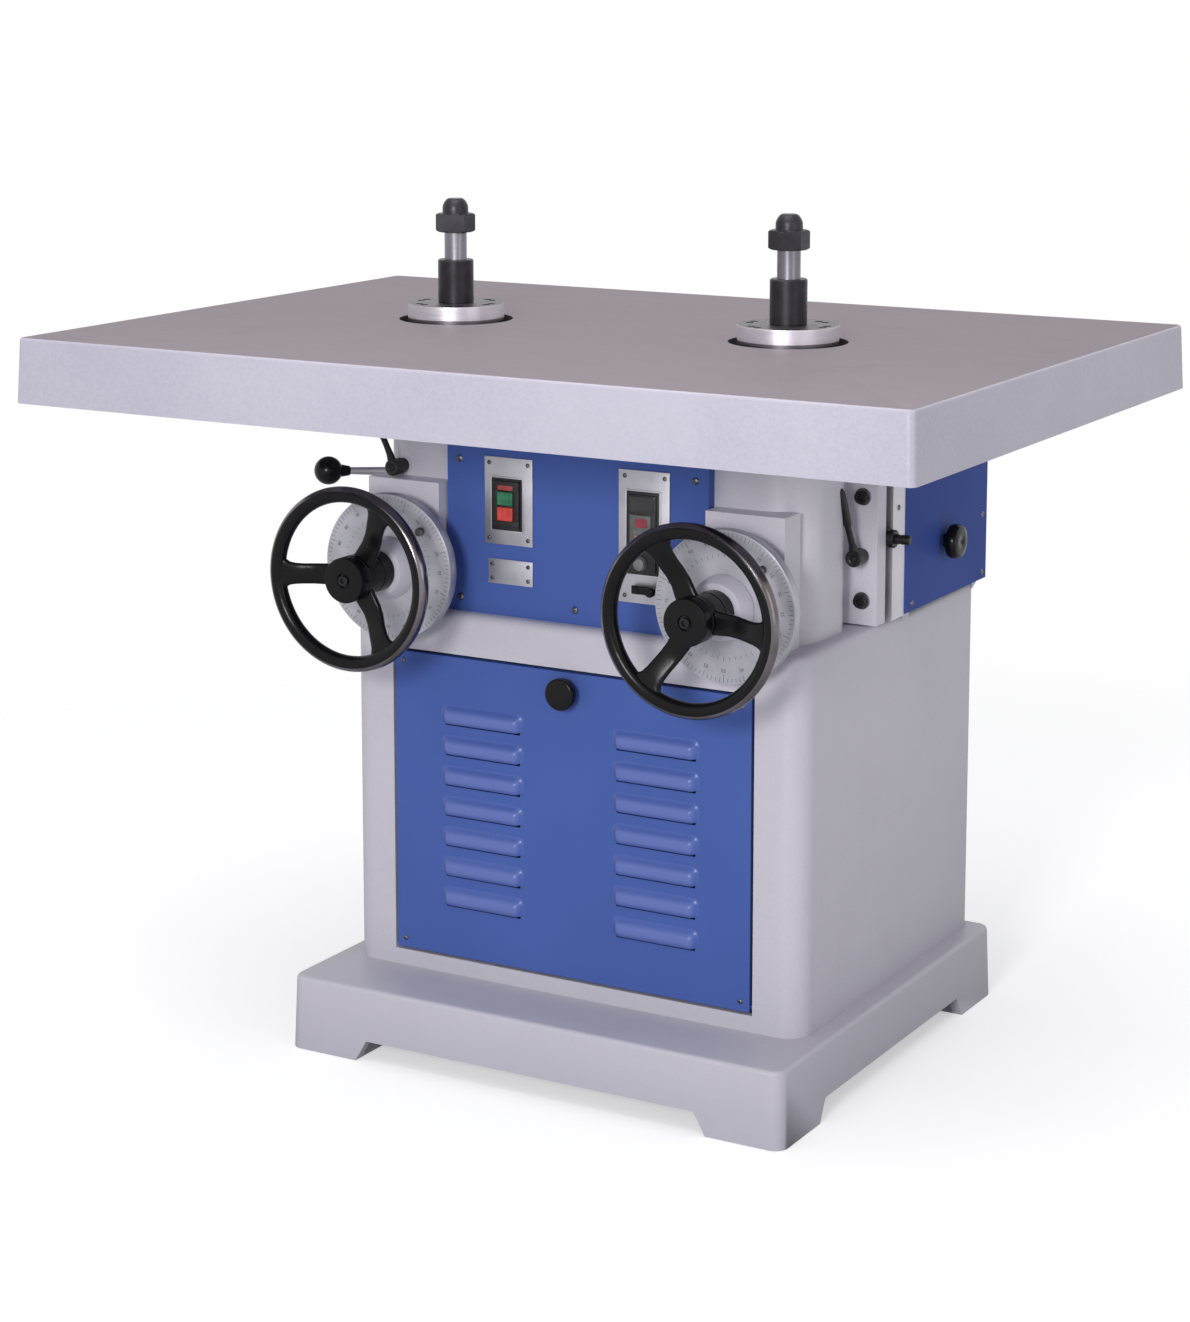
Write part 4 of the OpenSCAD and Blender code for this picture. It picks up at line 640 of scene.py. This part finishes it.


# Covers: blue sheet at both sides and at the back, screwed on. The side covers are closed by a
# mushroom knob with a turn latch, and the mains cable would enter through a gland at the back.

# Blue enamel of the covers: the door's blue painted darker as the shade on the sides and back, satin
cover_enamel_painted_shade = enamel("blue_enamel_painted_shade_on_covers", "#3F549C", "#3A4E94", roughness=0.40, peel_mm=9.0,
                      peel_depth=0.2, gloss_level=0.3, ior=1.12)
for node in ("side_cover_left", "side_cover_right", "rear_covers"):
    rounded_copy(node, "root", [cover_enamel_painted_shade], edge=1.0)
cover_face, front_edge_face, upper_rear_face, lower_rear_face = 349.0, 348.0, 337.0, 335.0
panel_face = corners("front_panel")[0][1]
screws = bmesh.new()
for side in (-1, 1):
    for y, z in ((81.0, 612.0), (318.0, 612.0), (318.0, 694.0)):
        round_head_screw(screws, "x", (side * cover_face, y, z), out=side, radius=4.5, rise=2.0, shank=2.5,
                         deep=10.0)
    round_head_screw(screws, "x", (side * front_edge_face, 37.0, 748.0), out=side, radius=4.0, rise=1.5,
                     shank=2.5, deep=10.0)
    for z in (642.0, 745.0, 848.0):
        round_head_screw(screws, "y", (side * 292.0, upper_rear_face, z), out=1, radius=4.5, rise=2.0,
                         shank=2.0, deep=1.5)
    for z in (143.0, 350.0, 557.0):
        round_head_screw(screws, "y", (side * 247.0, lower_rear_face, z), out=1, radius=4.0, rise=2.0,
                         shank=2.0, deep=1.5)
for x, z in ((-176, 619), (0, 619), (176, 619), (-176, 805), (176, 805)):
    round_head_screw(screws, "y", (x, panel_face, z), out=-1, radius=5.0, rise=2.0, shank=2.5, deep=13.0)
piece("cover_screws_turned", screws, "root", [zinc], ["cover_screws"], sharp=45.0)
latch_y, latch_z = 189.0, 679.0
for n in ("left", "right"):
    knob = bmesh.new()
    turned(knob, [(0, 24.0), (2.6, 24.0), (3.4, 24.6), (17.0, 24.9), (21.4, 23.4), (23.5, 19.8),
                  (23.7, 13.6), (22.4, 9.4), (18.6, 7.0), (11.0, 5.8), (9.4, 4.4), (9.2, 2.0), (9.6, 0.3),
                  (6.0, 0.3), (6.0, -15.0), (0, -15.0)], "x", (cover_face, latch_y, latch_z), steps=64)
    slab(knob, (337.0, latch_y - 8.0, latch_z - 8.0), (340.0, latch_y + 8.0, latch_z + 30.0), 0.6)
    if n == "left":
        bmesh.ops.transform(knob, matrix=Matrix.Diagonal((-1, 1, 1, 1)), verts=knob.verts)
        bmesh.ops.reverse_faces(knob, faces=knob.faces)
    piece("side_knob_%s_turned" % n, knob, "side_knob_" + n, [phenolic], ["side_knob_" + n],
          sharp=40.0)
gland_x, _, gland_z = middle("cable_gland")
gland = bmesh.new()
turned(gland, [(5.0, -16.0), (10.0, -16.0), (10.0, 0), (14.6, 0), (15.0, 0.6), (15.0, 7.4), (14.4, 8.0),
               (11.0, 8.0), (11.0, 18.0), (10.2, 20.0), (8.0, 21.0), (5.0, 21.0)],
       "y", (gland_x, 332.0, gland_z), steps=12, closed=True)
piece("cable_gland_moulded", gland, "root", [grained_abs], ["cable_gland"], edge=0.5)


# Handwheels: black enamelled iron castings with three dished spokes; the outside of the rim is
# turned and polished, and each wheel is held on its shaft by a socket screw.

# Stove enamel on cast iron: black, glossy, with the soft lumps of the casting under it
stove_enamel = enamel("black_stove_enamel", "#0C0B0D", "#131214", roughness=0.22, peel_mm=7.0,
                      peel_depth=0.25, ior=1.25)
# Polished rim: bright steel, with a warm cast of hand oil and hair-fine turning marks
polished_rim = metal_finish("polished_steel_rim", "#7D7A82", "#625955", rough=0.19, blotch_mm=60.0,
                            grain_mm=1.6, relief=0.02)


def arm(shape, stations, turn):
    """Spoke or lever arm, lofted through flat rounded sections: (distance out, place along the axis, half
    width, half thickness)"""
    squareness = 0.62
    rings = []
    for radius, along, half_wide, half_thick in stations:
        end = (radius, along) in (stations[0][:2], stations[-1][:2])
        ring = bmesh.ops.create_circle(shape, segments=24, radius=1.0, cap_ends=end)["verts"]
        for v in ring:
            a, b = v.co.x, v.co.y
            v.co = (math.copysign(abs(a) ** squareness, a) * half_wide,
                    along + math.copysign(abs(b) ** squareness, b) * half_thick, radius)
        rings.append([e for e in shape.edges if e.verts[0] in ring and e.verts[1] in ring])
    for first, second in zip(rings, rings[1:]):
        bmesh.ops.bridge_loops(shape, edges=first + second)
    loft = list({v for ring in rings for e in ring for v in e.verts})
    bmesh.ops.transform(shape, matrix=turn, verts=loft)
    return list({f for v in loft for f in v.link_faces})


wheel_x, _, wheel_z = middle("dial_right")
hub_face = corners("handwheel_right")[0][1]
# The rim is a ring of round section, polished on its outer side from a third of its half width
rim_r, rim_half, rim_y, polished_from = 111.5, 10.5, -360.0, 0.33
rim_turn = [i * math.tau / 28 for i in range(28)]
# The spokes leave the hub behind the rim's plane and come forward into the rim, where they widen
dished = [(18, 17.0, 18.0, 5.0), (30, 17.4, 15.2, 5.0), (48, 18.4, 13.9, 4.8), (62, 14.4, 13.5, 4.8),
          (76, 7.6, 13.5, 4.8), (86, 3.6, 14.1, 4.8), (94, 1.4, 15.6, 4.9), (99, 0.6, 18.8, 5.2),
          (102.5, 0.2, 24.0, 5.6), (106, 0.0, 27.0, 5.6)]
# Each wheel stands with its first spoke at another angle
for n, side, first in (("left", -1, 61.0), ("right", 1, -4.0)):
    wheel = bmesh.new()
    rim = turned(wheel, [(rim_r + rim_half * math.cos(t), rim_half * math.sin(t)) for t in rim_turn],
                 "y", (0, rim_y, 0), steps=120, closed=True)
    for face in rim:
        x, _, z = face.calc_center_median()
        if math.hypot(x, z) > rim_r + rim_half * polished_from:
            face.material_index = 1
    spokes = []
    for i in range(3):
        turn = Matrix.Rotation(math.radians(90.0 - first + 120.0 * i), 4, "Y")
        spokes += arm(wheel, dished, Matrix.Translation((0, rim_y, 0)) @ turn)
    bmesh.ops.recalc_face_normals(wheel, faces=spokes)
    turned(wheel, [(9.0, 4.5), (9.0, 1.0), (10.0, 0), (27.6, 0), (29.2, 0.5), (30.0, 2.0), (30.0, 16.0),
                   (29.0, 16.8), (29.0, 18.4), (30.0, 19.2), (30.0, 31.0), (28.4, 32.6), (27.0, 33.6),
                   (27.0, 56.0), (26.2, 56.8), (26.2, 58.2), (27.0, 59.0), (27.0, 78.8), (26.0, 80.0),
                   (10.2, 80.0), (10.2, 4.5)], "y", (0, hub_face, 0), steps=72, closed=True)
    bmesh.ops.translate(wheel, vec=(side * wheel_x, 0, wheel_z), verts=wheel.verts)
    piece("handwheel_%s_cast" % n, wheel, "wheel_" + n, [stove_enamel, polished_rim],
          ["handwheel_" + n], sharp=38.0)
    # The hub screw, the black washer round it, the shaft, and the bevel pinion on its inner end
    centre = (side * wheel_x, hub_face, wheel_z)
    shaft = bmesh.new()
    socket_screw(shaft, "y", centre, radius=7.0, top=-1.8, under=4.4, skin=1)
    turned(shaft, [(0, 3.5), (8.9, 3.5), (8.9, 4.1), (0, 4.1)], "y", centre, steps=32, skin=1)
    pin(shaft, "y", centre, radius=10.0, start=4.0, end=196.0, chamfer=0.8, steps=48)
    turned(shaft, [(0, 188.0), (15.0, 188.0), (15.6, 188.6), (15.6, 196.0), (9.6, 202.0), (0, 202.0)],
           "y", centre, steps=48)
    piece("wheel_shaft_%s_turned" % n, shaft, "wheel_" + n, [planed_iron, black_steel],
          ["wheel_shaft_" + n])


# Bearings and dials: a cone-shaped iron bearing carries each wheel shaft, and round it turns an
# aluminium dial, divided into a hundred parts, that a small screw locks.
bearing_face = corners("wheel_bearings")[0][1]
shape = bmesh.new()
for side in (-1, 1):
    turned(shape, [(10.06, 0), (32.6, 0), (34.4, 0.9), (40.2, 10.5), (41.9, 22.1), (41.2, 23.2),
                   (30.0, 23.2), (30.0, 55.5), (50.0, 55.5), (50.0, 69.5), (24.9, 69.5), (24.9, 81.5),
                   (10.06, 81.5)],
           "y", (side * wheel_x, bearing_face, wheel_z), steps=72, closed=True)
piece("wheel_bearings_cast", shape, "root", [grey_enamel], ["wheel_bearings"])
# Satin aluminium dial: nearly white, with turning rings drawn 1.5 mm apart and grey smudges of oily hands
dial_face, tree = finish("satin_aluminium_dial")
place = add(tree, "TexCoord").outputs["Object"]
smudge = add(tree, "TexNoise", {}, {"Vector": place, "Scale": 26.0, "Detail": 4.0})
grain = add(tree, "TexNoise", {}, {"Vector": place, "Scale": 600.0, "Detail": 2.0})
worn = add(tree, "ValToRGB", {}, {"Fac": smudge.outputs["Fac"]}, [(0.4, 0.0), (0.7, 1.0)])
tone = add(tree, "Mix", {"data_type": "RGBA"},
           {mix_share: worn.outputs["Color"], mix_first: srgb("#B9B8C1"), mix_second: srgb("#A5A4AC")})
sheen = add(tree, "MapRange", {}, {"Value": grain.outputs["Fac"], "To Min": 0.36, "To Max": 0.50})
bump = add(tree, "Bump", {}, {"Height": grain.outputs["Fac"], "Strength": 0.08, "Distance": 0.0002})
metal = add(tree, "BsdfPrincipled", {}, {"Base Color": tone.outputs[mix_colour], "Metallic": 0.55,
                                         "Roughness": sheen.outputs[0], "Normal": bump.outputs[0]})
add(tree, "OutputMaterial", {}, {"Surface": metal.outputs[0]})
# Filled engraving: black wax in the cut lines and figures, patchy where it has fallen out
engraving = metal_finish("black_filled_engraving", "#3E3D42", "#6B6A70", rough=0.55, blotch_mm=3.0,
                         grain_mm=1.0, metallic=0.0)
dial_y, dial_r, lock_off = -268.0, 98.0, 53.0
# The outer ring of lines ends here, the inner ring starts there, and the figures stand between them
lines_r, inner_lines_r, figures_r = dial_r - 2.6, 63.0, dial_r - 17.5
# The lines and figures lie just proud of the face, as their wax does
mark_face, mark_back = dial_y - 0.12, dial_y + 0.2
for n, side in (("left", -1), ("right", 1)):
    dial = bmesh.new()
    turned(dial, [(30.06, 0), (dial_r - 1.4, 0), (dial_r - 0.3, 0.5), (dial_r, 1.6), (dial_r, 14.8),
                  (dial_r - 0.8, 16.0), (50.0, 16.0), (50.0, 31.7), (30.06, 31.7)],
           "y", (0, dial_y, 0), steps=120, closed=True)
    for tick in range(100):
        before = set(dial.verts)
        long = 10.0 if tick % 10 == 0 else 8.0 if tick % 5 == 0 else 5.0
        slab(dial, (-0.30, mark_face, lines_r - long), (0.30, mark_back, lines_r), skin=1)
        if tick % 2 == 0:
            long = 4.0 if tick % 10 else 6.0
            slab(dial, (-0.25, mark_face, inner_lines_r), (0.25, mark_back, inner_lines_r + long), skin=1)
        bmesh.ops.rotate(dial, verts=[v for v in dial.verts if v not in before], cent=(0, 0, 0),
                         matrix=Matrix.Rotation(math.tau * tick / 100, 3, "Y"))
    for mark in range(20):
        figure = bpy.data.curves.new("figure", "FONT")
        figure.body = str(mark * 5)
        figure.size, figure.extrude, figure.resolution_u = 6.6, 0.15, 2
        figure.align_x, figure.align_y = "CENTER", "CENTER"
        holder = bpy.data.objects.new("figure", figure)
        before = set(dial.verts)
        flat = holder.to_mesh()
        dial.from_mesh(flat)
        holder.to_mesh_clear()
        bpy.data.objects.remove(holder)
        bpy.data.curves.remove(figure)
        fresh = [v for v in dial.verts if v not in before]
        upright = Matrix.Rotation(math.pi / 2, 4, "X")
        bmesh.ops.transform(dial, verts=fresh,
                            matrix=Matrix.Rotation(math.tau * mark / 20, 4, "Y")
                            @ Matrix.Translation((0, dial_y + 0.03, figures_r)) @ upright)
        for face in {f for v in fresh for f in v.link_faces}:
            face.material_index = 1
    bmesh.ops.translate(dial, vec=(side * wheel_x, 0, wheel_z), verts=dial.verts)
    turned(dial, [(0, -9.0), (4.6, -9.0), (5.5, -8.0), (5.5, -1.4), (4.4, -0.6), (4.4, 6.0), (0, 6.0)],
           "y", (side * wheel_x + lock_off, dial_y, wheel_z + lock_off), steps=24, skin=2)
    piece("dial_%s_engraved" % n, dial, "dial_" + n, [dial_face, engraving, dull_steel],
          ["dial_" + n], sharp=35.0)


# Ratchet levers: black die-cast arms on a serrated hub, one at each head, that tighten its clamp.
# A socket screw in the hub holds the arm, and a stud goes on into the head.

# Powder coat on a die casting: black, satin, finely pebbled, drawn 1.5 mm apart
powder_coat = metal_finish("black_powder_coat", "#151416", "#1D1C1F", rough=0.34, blotch_mm=10.0,
                           grain_mm=1.5, relief=0.15, metallic=0.0, ior=1.35)
# The arm comes forward as it rises: a flat neck that widens into a rounded grip
lever_arm = [(-2.0, -24.2, 7.0, 5.0), (8.0, -24.6, 5.9, 4.8), (18.0, -26.4, 4.4, 4.3),
             (30.0, -30.4, 3.7, 4.0), (42.0, -34.6, 3.8, 4.2), (46.0, -35.9, 5.4, 5.4),
             (58.0, -39.4, 6.2, 6.0), (72.0, -43.2, 6.2, 6.2), (89.0, -47.6, 5.8, 5.6),
             (94.0, -48.7, 3.6, 4.2), (96.2, -49.1, 1.8, 2.2)]
# Seat of each lever, how far the arm's grip leans to the side, and how long its stud is
for n, seat, lean, stud in (("left", (-274.0, -191.5, 786.0), -20.0, 12.0),
                            ("right", (327.0, -29.0, 694.0), -10.0, 74.0)):
    lever = bmesh.new()
    turned(lever, [(0, -29.6), (5.0, -29.6), (5.6, -30.0), (9.6, -30.0), (11.0, -28.6), (11.0, -9.0),
                   (9.4, -7.6), (9.4, -1.2), (8.6, -0.3), (6.0, -0.3), (6.0, stud - 0.8), (5.2, stud),
                   (0, stud)], "y", (0, 0, 0), steps=36)
    socket_screw(lever, "y", (0, 0, 0), radius=4.4, top=-30.9, under=-29.4, skin=1)
    bent = arm(lever, lever_arm, Matrix.Shear("XY", 4, (lean / 84.0, 0.0)))
    bmesh.ops.recalc_face_normals(lever, faces=bent)
    bmesh.ops.translate(lever, vec=seat, verts=lever.verts)
    piece("ratchet_lever_%s_cast" % n, lever, "ratchet_lever_" + n, [powder_coat, black_steel],
          ["ratchet_lever_" + n], sharp=40.0)


# Ball lever and plunger: the lever is a steel rod with a phenolic ball, on the left head; the plunger
# is a blackened pin in a block between the ears of the right head.
boss, ball, ball_r = Vector((-338.0, -96.0, 757.0)), Vector((-412.0, -170.0, 763.0)), 19.5
reach = (ball - boss).length
lever = bmesh.new()
# The rod, the ball's neck, and the ball, flattened where the neck enters it
turned(lever, [(0, -4.0), (6.4, -4.0), (7.0, -3.0), (7.0, 6.0), (6.2, 10.0), (5.0, reach - 36.0),
               (5.0, reach - 26.0), (0, reach - 26.0)], "z", (0, 0, 0), steps=32)
turned(lever, [(0, reach - 30.0), (5.6, reach - 30.0), (6.6, reach - 29.0), (8.6, reach - 18.0),
               (0, reach - 17.0)], "z", (0, 0, 0), steps=32, skin=1)
ball_arc = [math.pi * i / 24 for i in range(2, 24)]
turned(lever, [(0, reach - 19.3)] + [(ball_r * math.sin(t), reach - ball_r * math.cos(t)) for t in ball_arc]
       + [(0, reach + ball_r)], "z", (0, 0, 0), steps=48, skin=1)
aim = (ball - boss).to_track_quat("Z", "Y").to_matrix().to_4x4()
bmesh.ops.transform(lever, matrix=Matrix.Translation(boss) @ aim, verts=lever.verts)
turned(lever, [(0, -7.0), (10.6, -7.0), (12.0, -5.6), (12.0, 17.6), (11.0, 18.7), (6.0, 18.7), (6.0, 30.0),
               (5.0, 31.0), (0, 31.0)], "x", boss, steps=40)
piece("ball_lever_turned", lever, "ball_lever", [planed_iron, phenolic], ["ball_lever"])
_, plunger_y, plunger_z = middle("plunger")
plunger_end = corners("plunger")[1][0]
block = bmesh.new()
slab(block, (316.0, -2.9, 700.0), (346.0, 18.9, 724.0), 0.8)
turned(block, [(6.62, 0), (10.0, 0), (10.0, 3.3), (11.4, 3.3), (12.0, 4.0), (12.0, 11.0), (11.0, 12.0),
               (6.62, 12.0)], "x", (345.0, plunger_y, plunger_z), steps=48, closed=True)
piece("plunger_body_turned", block, "root", [black_steel], ["plunger_body"])
plunger = bmesh.new()
turned(plunger, [(0, 0), (4.8, 0), (6.2, -1.2), (6.5, -2.4), (6.5, -12.0), (5.7, -12.8), (5.7, -14.4),
                 (6.5, -15.2), (6.5, -64.0), (5.2, -65.7), (0, -65.7)],
       "x", (plunger_end, plunger_y, plunger_z), steps=36)
piece("plunger_turned", plunger, "plunger", [black_steel], ["plunger"])


# Spindles: steel arbors in sleeves that rise through the table; each has a bright cap ring held by
# six pairs of screws, a blackened spacing collar and a domed nut.

# Turned steel: bright, with the tool's rings round the axis, drawn 1.5 mm apart up the ring's side
# Ground steel of arbor and sleeve: the same rings, greyer
turned_steel, ground_steel = [
    metal_finish(name, light, dark, rough=0.33, blotch_mm=60.0, grain_mm=1.5, relief=0.08, round_z=0.03)
    for name, light, dark in (("turned_steel_ring", "#EAE6EE", "#D8D4DC"),
                              ("ground_steel_arbor", "#827E85", "#75717A"))]
# Top of the ring: the same steel painted darker than its side, a painted shade; its sunk screws are black
ring_top_painted_shade = metal_finish("steel_ring_top_painted_shade", "#6E6B71", "#57545A", rough=0.42, blotch_mm=14.0,
                          grain_mm=1.5)
# Black of the sunk screws, also painted on the walls of their holes as shade
black_screw_and_painted_hole_shade = metal_finish("black_screw_head_and_painted_hole_shade", "#161517", "#0E0D0F", rough=0.50, blotch_mm=6.0,
                          grain_mm=1.5, metallic=0.2, ior=1.25)
# Black oxide: dark brown-black over turned steel, satin, thin at the edges
black_oxide = metal_finish("black_oxide_steel", "#37353B", "#2B292E", rough=0.38, blotch_mm=25.0,
                           grain_mm=1.5, relief=0.08, metallic=0.8, round_z=0.03)
ring_top, collar_foot, nut_foot = [corners(node + "_right")[end][2] for node, end in
                                   (("quill_cap", 1), ("collar", 0), ("arbor_nut", 0))]
# Six pairs of screws on one circle, and the radius that their sunk holes stay within
pair_half, screw_circle, sunk_r = 7.5, 52.0, 6.5
screw_turns = [math.radians(60.0 * i + split) for i in range(6) for split in (-pair_half, pair_half)]
screw_places = [(screw_circle * math.cos(at), screw_circle * math.sin(at)) for at in screw_turns]
# Hexagon across its flats, how high it is, and the turn of its first flat
across_flats, hexagon_high, first_flat = 46.0, 25.0, math.pi / 3
corner_r = across_flats / 2 / math.cos(math.pi / 6)
for n, side in (("left", -1), ("right", 1)):
    rounded_copy("sleeve_" + n, "carriage_" + n, [ground_steel], edge=0.6)
    ring = rounded_copy("quill_cap_" + n, "carriage_" + n, [turned_steel, black_screw_and_painted_hole_shade, ring_top_painted_shade],
                        edge=1.2)
    for face in ring.data.polygons:
        x, y, z = 1000 * face.center - Vector((side * spindle_x, spindle_y, 0))
        in_hole = any(math.hypot(x - at_x, y - at_y) < sunk_r for at_x, at_y in screw_places)
        wall = face.area < 0.001 and abs(face.normal.z) < 0.99
        # Walls and floors of the screw holes take the black: painted shade in the holes
        if in_hole and (wall or z < ring_top - 0.5):
            face.material_index = 1
        # Upward faces take the painted shade of the ring's top
        elif face.normal.z > 0.9:
            face.material_index = 2
    screws = bmesh.new()
    for x, y in screw_places:
        spot = (side * spindle_x + x, spindle_y + y, ring_top)
        socket_screw(screws, "z", spot, radius=5.0, top=-0.6, under=-6.5)
        pin(screws, "z", spot, radius=3.0, start=-32.0, end=-6.0, steps=12)
    piece("cap_screws_%s_turned" % n, screws, "carriage_" + n, [black_screw_and_painted_hole_shade],
          ["cap_screws_" + n])
    rounded_copy("spindle_" + n, "spindle_" + n, [ground_steel], edge=0.5)
    collar = bmesh.new()
    turned(collar, [(15.06, 0), (23.4, 0), (24.0, 0.8), (24.0, 56.4), (22.4, 58.0), (15.06, 58.0)],
           "z", (side * spindle_x, spindle_y, collar_foot), steps=72, closed=True)
    piece("collar_%s_turned" % n, collar, "spindle_" + n, [black_oxide], ["collar_" + n])
    # The nut is turned whole, and its flats are then pressed in from the round
    nut = bmesh.new()
    turned(nut, [(14.5, 0), (22.6, 0), (24.4, 0.6), (corner_r - 0.01, 1.9), (corner_r, 4.0),
                 (corner_r, 21.0), (corner_r - 0.01, 23.1), (24.4, 24.4), (22.6, hexagon_high),
                 (18.0, hexagon_high), (17.5, 26.0), (17.4, 33.0), (16.8, 36.0), (14.6, 40.4), (12.4, 43.2),
                 (9.6, 45.0), (0, 45.0)], "z", (0, 0, 0), steps=72)
    for v in nut.verts:
        radius = math.hypot(v.co.x, v.co.y)
        off = (math.atan2(v.co.y, v.co.x) - first_flat + math.pi / 6) % (math.pi / 3) - math.pi / 6
        if v.co.z < hexagon_high + 0.5 and radius > across_flats / 2:
            v.co.xy *= min(1.0, across_flats / 2 / math.cos(off) / radius)
    bmesh.ops.translate(nut, vec=(side * spindle_x, spindle_y, nut_foot), verts=nut.verts)
    piece("arbor_nut_%s_turned" % n, nut, "spindle_" + n, [black_oxide], ["arbor_nut_" + n],
          sharp=22.0)


# Inside the heads: iron carriages on their lift screws, and motors that drive the spindles by belts.
# They are hidden by the covers, so they keep the solids' shapes.

# Motor enamel: blue-grey, satin, dusty
motor_enamel = enamel("grey_motor_enamel", "#5D6470", "#6A6F79", roughness=0.45, peel_mm=5.0, peel_depth=0.4,
                      speckle=0.2)
# Belt rubber: near black, matt, with a woven cover and grey dust
belt_cover = metal_finish("woven_belt_rubber", "#222224", "#3A3A3B", rough=0.75, blotch_mm=12.0,
                          grain_mm=1.5, relief=0.5, metallic=0.0)
for n in ("left", "right"):
    rounded_copy("carriage_" + n, "carriage_" + n, [planed_iron], edge=0.8)
    rounded_copy("motor_" + n, "carriage_" + n, [motor_enamel], edge=0.8)
    for node, skin in (("lift_screw_", planed_iron), ("motor_rotor_", planed_iron), ("belt_", belt_cover)):
        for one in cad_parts[node + n].material_slots:
            one.material = skin


# Floor, light and camera: a white studio floor, three soft lamps and the catalogue's eye level.
# The floor paper fades out round the machine, so that it ends nowhere.
floor_paper, tree = finish("white_studio_floor")
place = add(tree, "TexCoord").outputs["Object"]
reach = add(tree, "VectorMath", {"operation": "LENGTH"}, {0: place})
edge = add(tree, "MapRange", {"interpolation_type": "SMOOTHSTEP"},
           {"Value": reach.outputs["Value"], "From Min": 1.2, "From Max": 2.6})
paper = add(tree, "BsdfDiffuse", {}, {"Color": srgb("#DCDCDF")})
clear = add(tree, "BsdfTransparent")
# The camera sees the paper nearly burnt out, so only the machine's soft shadow stays on it
rays = add(tree, "LightPath")
lift = add(tree, "Math", {"operation": "MULTIPLY"}, {0: rays.outputs["Is Camera Ray"], 1: 0.46})
glow = add(tree, "Emission", {}, {"Color": (1, 1, 1, 1), "Strength": lift.outputs[0]})
lit = add(tree, "AddShader", {}, {0: paper.outputs[0], 1: glow.outputs[0]})
blend = add(tree, "MixShader", {}, {0: edge.outputs[0], 1: lit.outputs[0], 2: clear.outputs[0]})
add(tree, "OutputMaterial", {}, {"Surface": blend.outputs[0]})
sheet = bmesh.new()
bmesh.ops.create_circle(sheet, cap_ends=True, segments=64, radius=2.8)
floor_mesh = bpy.data.meshes.new("studio_floor")
sheet.to_mesh(floor_mesh)
sheet.free()
floor_mesh.materials.append(floor_paper)
studio_floor = bpy.data.objects.new("studio_floor", floor_mesh)
studio_floor.location = (0, 0, -0.0005)
bpy.context.scene.collection.objects.link(studio_floor)

# The world lights the machine softly, and the camera, metal and glass see it white
sky = bpy.data.worlds.new("white_studio")
bpy.context.scene.world = sky
sky.use_nodes = True
tree = sky.node_tree
tree.nodes.clear()
rays = add(tree, "LightPath")
seen = add(tree, "Math", {"operation": "MAXIMUM"},
           {0: rays.outputs["Is Camera Ray"], 1: rays.outputs["Is Glossy Ray"]})
seen = add(tree, "Math", {"operation": "MAXIMUM"},
           {0: seen.outputs[0], 1: rays.outputs["Is Transmission Ray"]})
level = add(tree, "MapRange", {}, {"Value": seen.outputs[0], "To Min": 0.48, "To Max": 1.0})
white = add(tree, "Background", {}, {"Color": (1, 1, 1, 1), "Strength": level.outputs[0]})
add(tree, "OutputWorld", {}, {"Surface": white.outputs[0]})

# Soft square lamps, each with its place and width in metres and its watts, aimed at the machine's middle
machine_middle = Vector((0, 0, 0.6))
for name, spot, size, power in (
        ("key_softbox", (1.05, -4.9, 1.95), 1.1, 128),
        ("fill_softbox", (4.2, -1.4, 1.5), 2.0, 16),
        ("top_softbox", (0.0, -0.7, 3.4), 2.4, 44)):
    lamp = bpy.data.lights.new(name, "AREA")
    lamp.shape = "SQUARE"
    lamp.size = size
    lamp.energy = power
    holder = bpy.data.objects.new(name, lamp)
    holder.location = spot
    holder.rotation_euler = (machine_middle - Vector(spot)).to_track_quat("-Z", "Y").to_euler()
    bpy.context.scene.collection.objects.link(holder)

# Focal length in pixels of the 1190 x 1322 frame, and the height in that frame that the eye looks along
focal_px, eye_row, frame_high, sensor = 3003.9, 430.0, 1322, 36.0
# How far the camera looks down and turns, in degrees
look_down, turn_left = 8.977, 29.880
eye = bpy.data.cameras.new("catalogue_view")
eye.sensor_width = sensor
eye.lens = focal_px / frame_high * sensor
eye.shift_y = (eye_row - frame_high / 2) / frame_high
eye.clip_end = 50.0
stand = bpy.data.objects.new("catalogue_view", eye)
stand.location = (1.926, -3.506, 1.460)
stand.rotation_euler = (math.radians(90 - look_down), 0, math.radians(turn_left))
bpy.context.scene.collection.objects.link(stand)
bpy.context.scene.camera = stand
bpy.context.scene.view_settings.view_transform = "Standard"
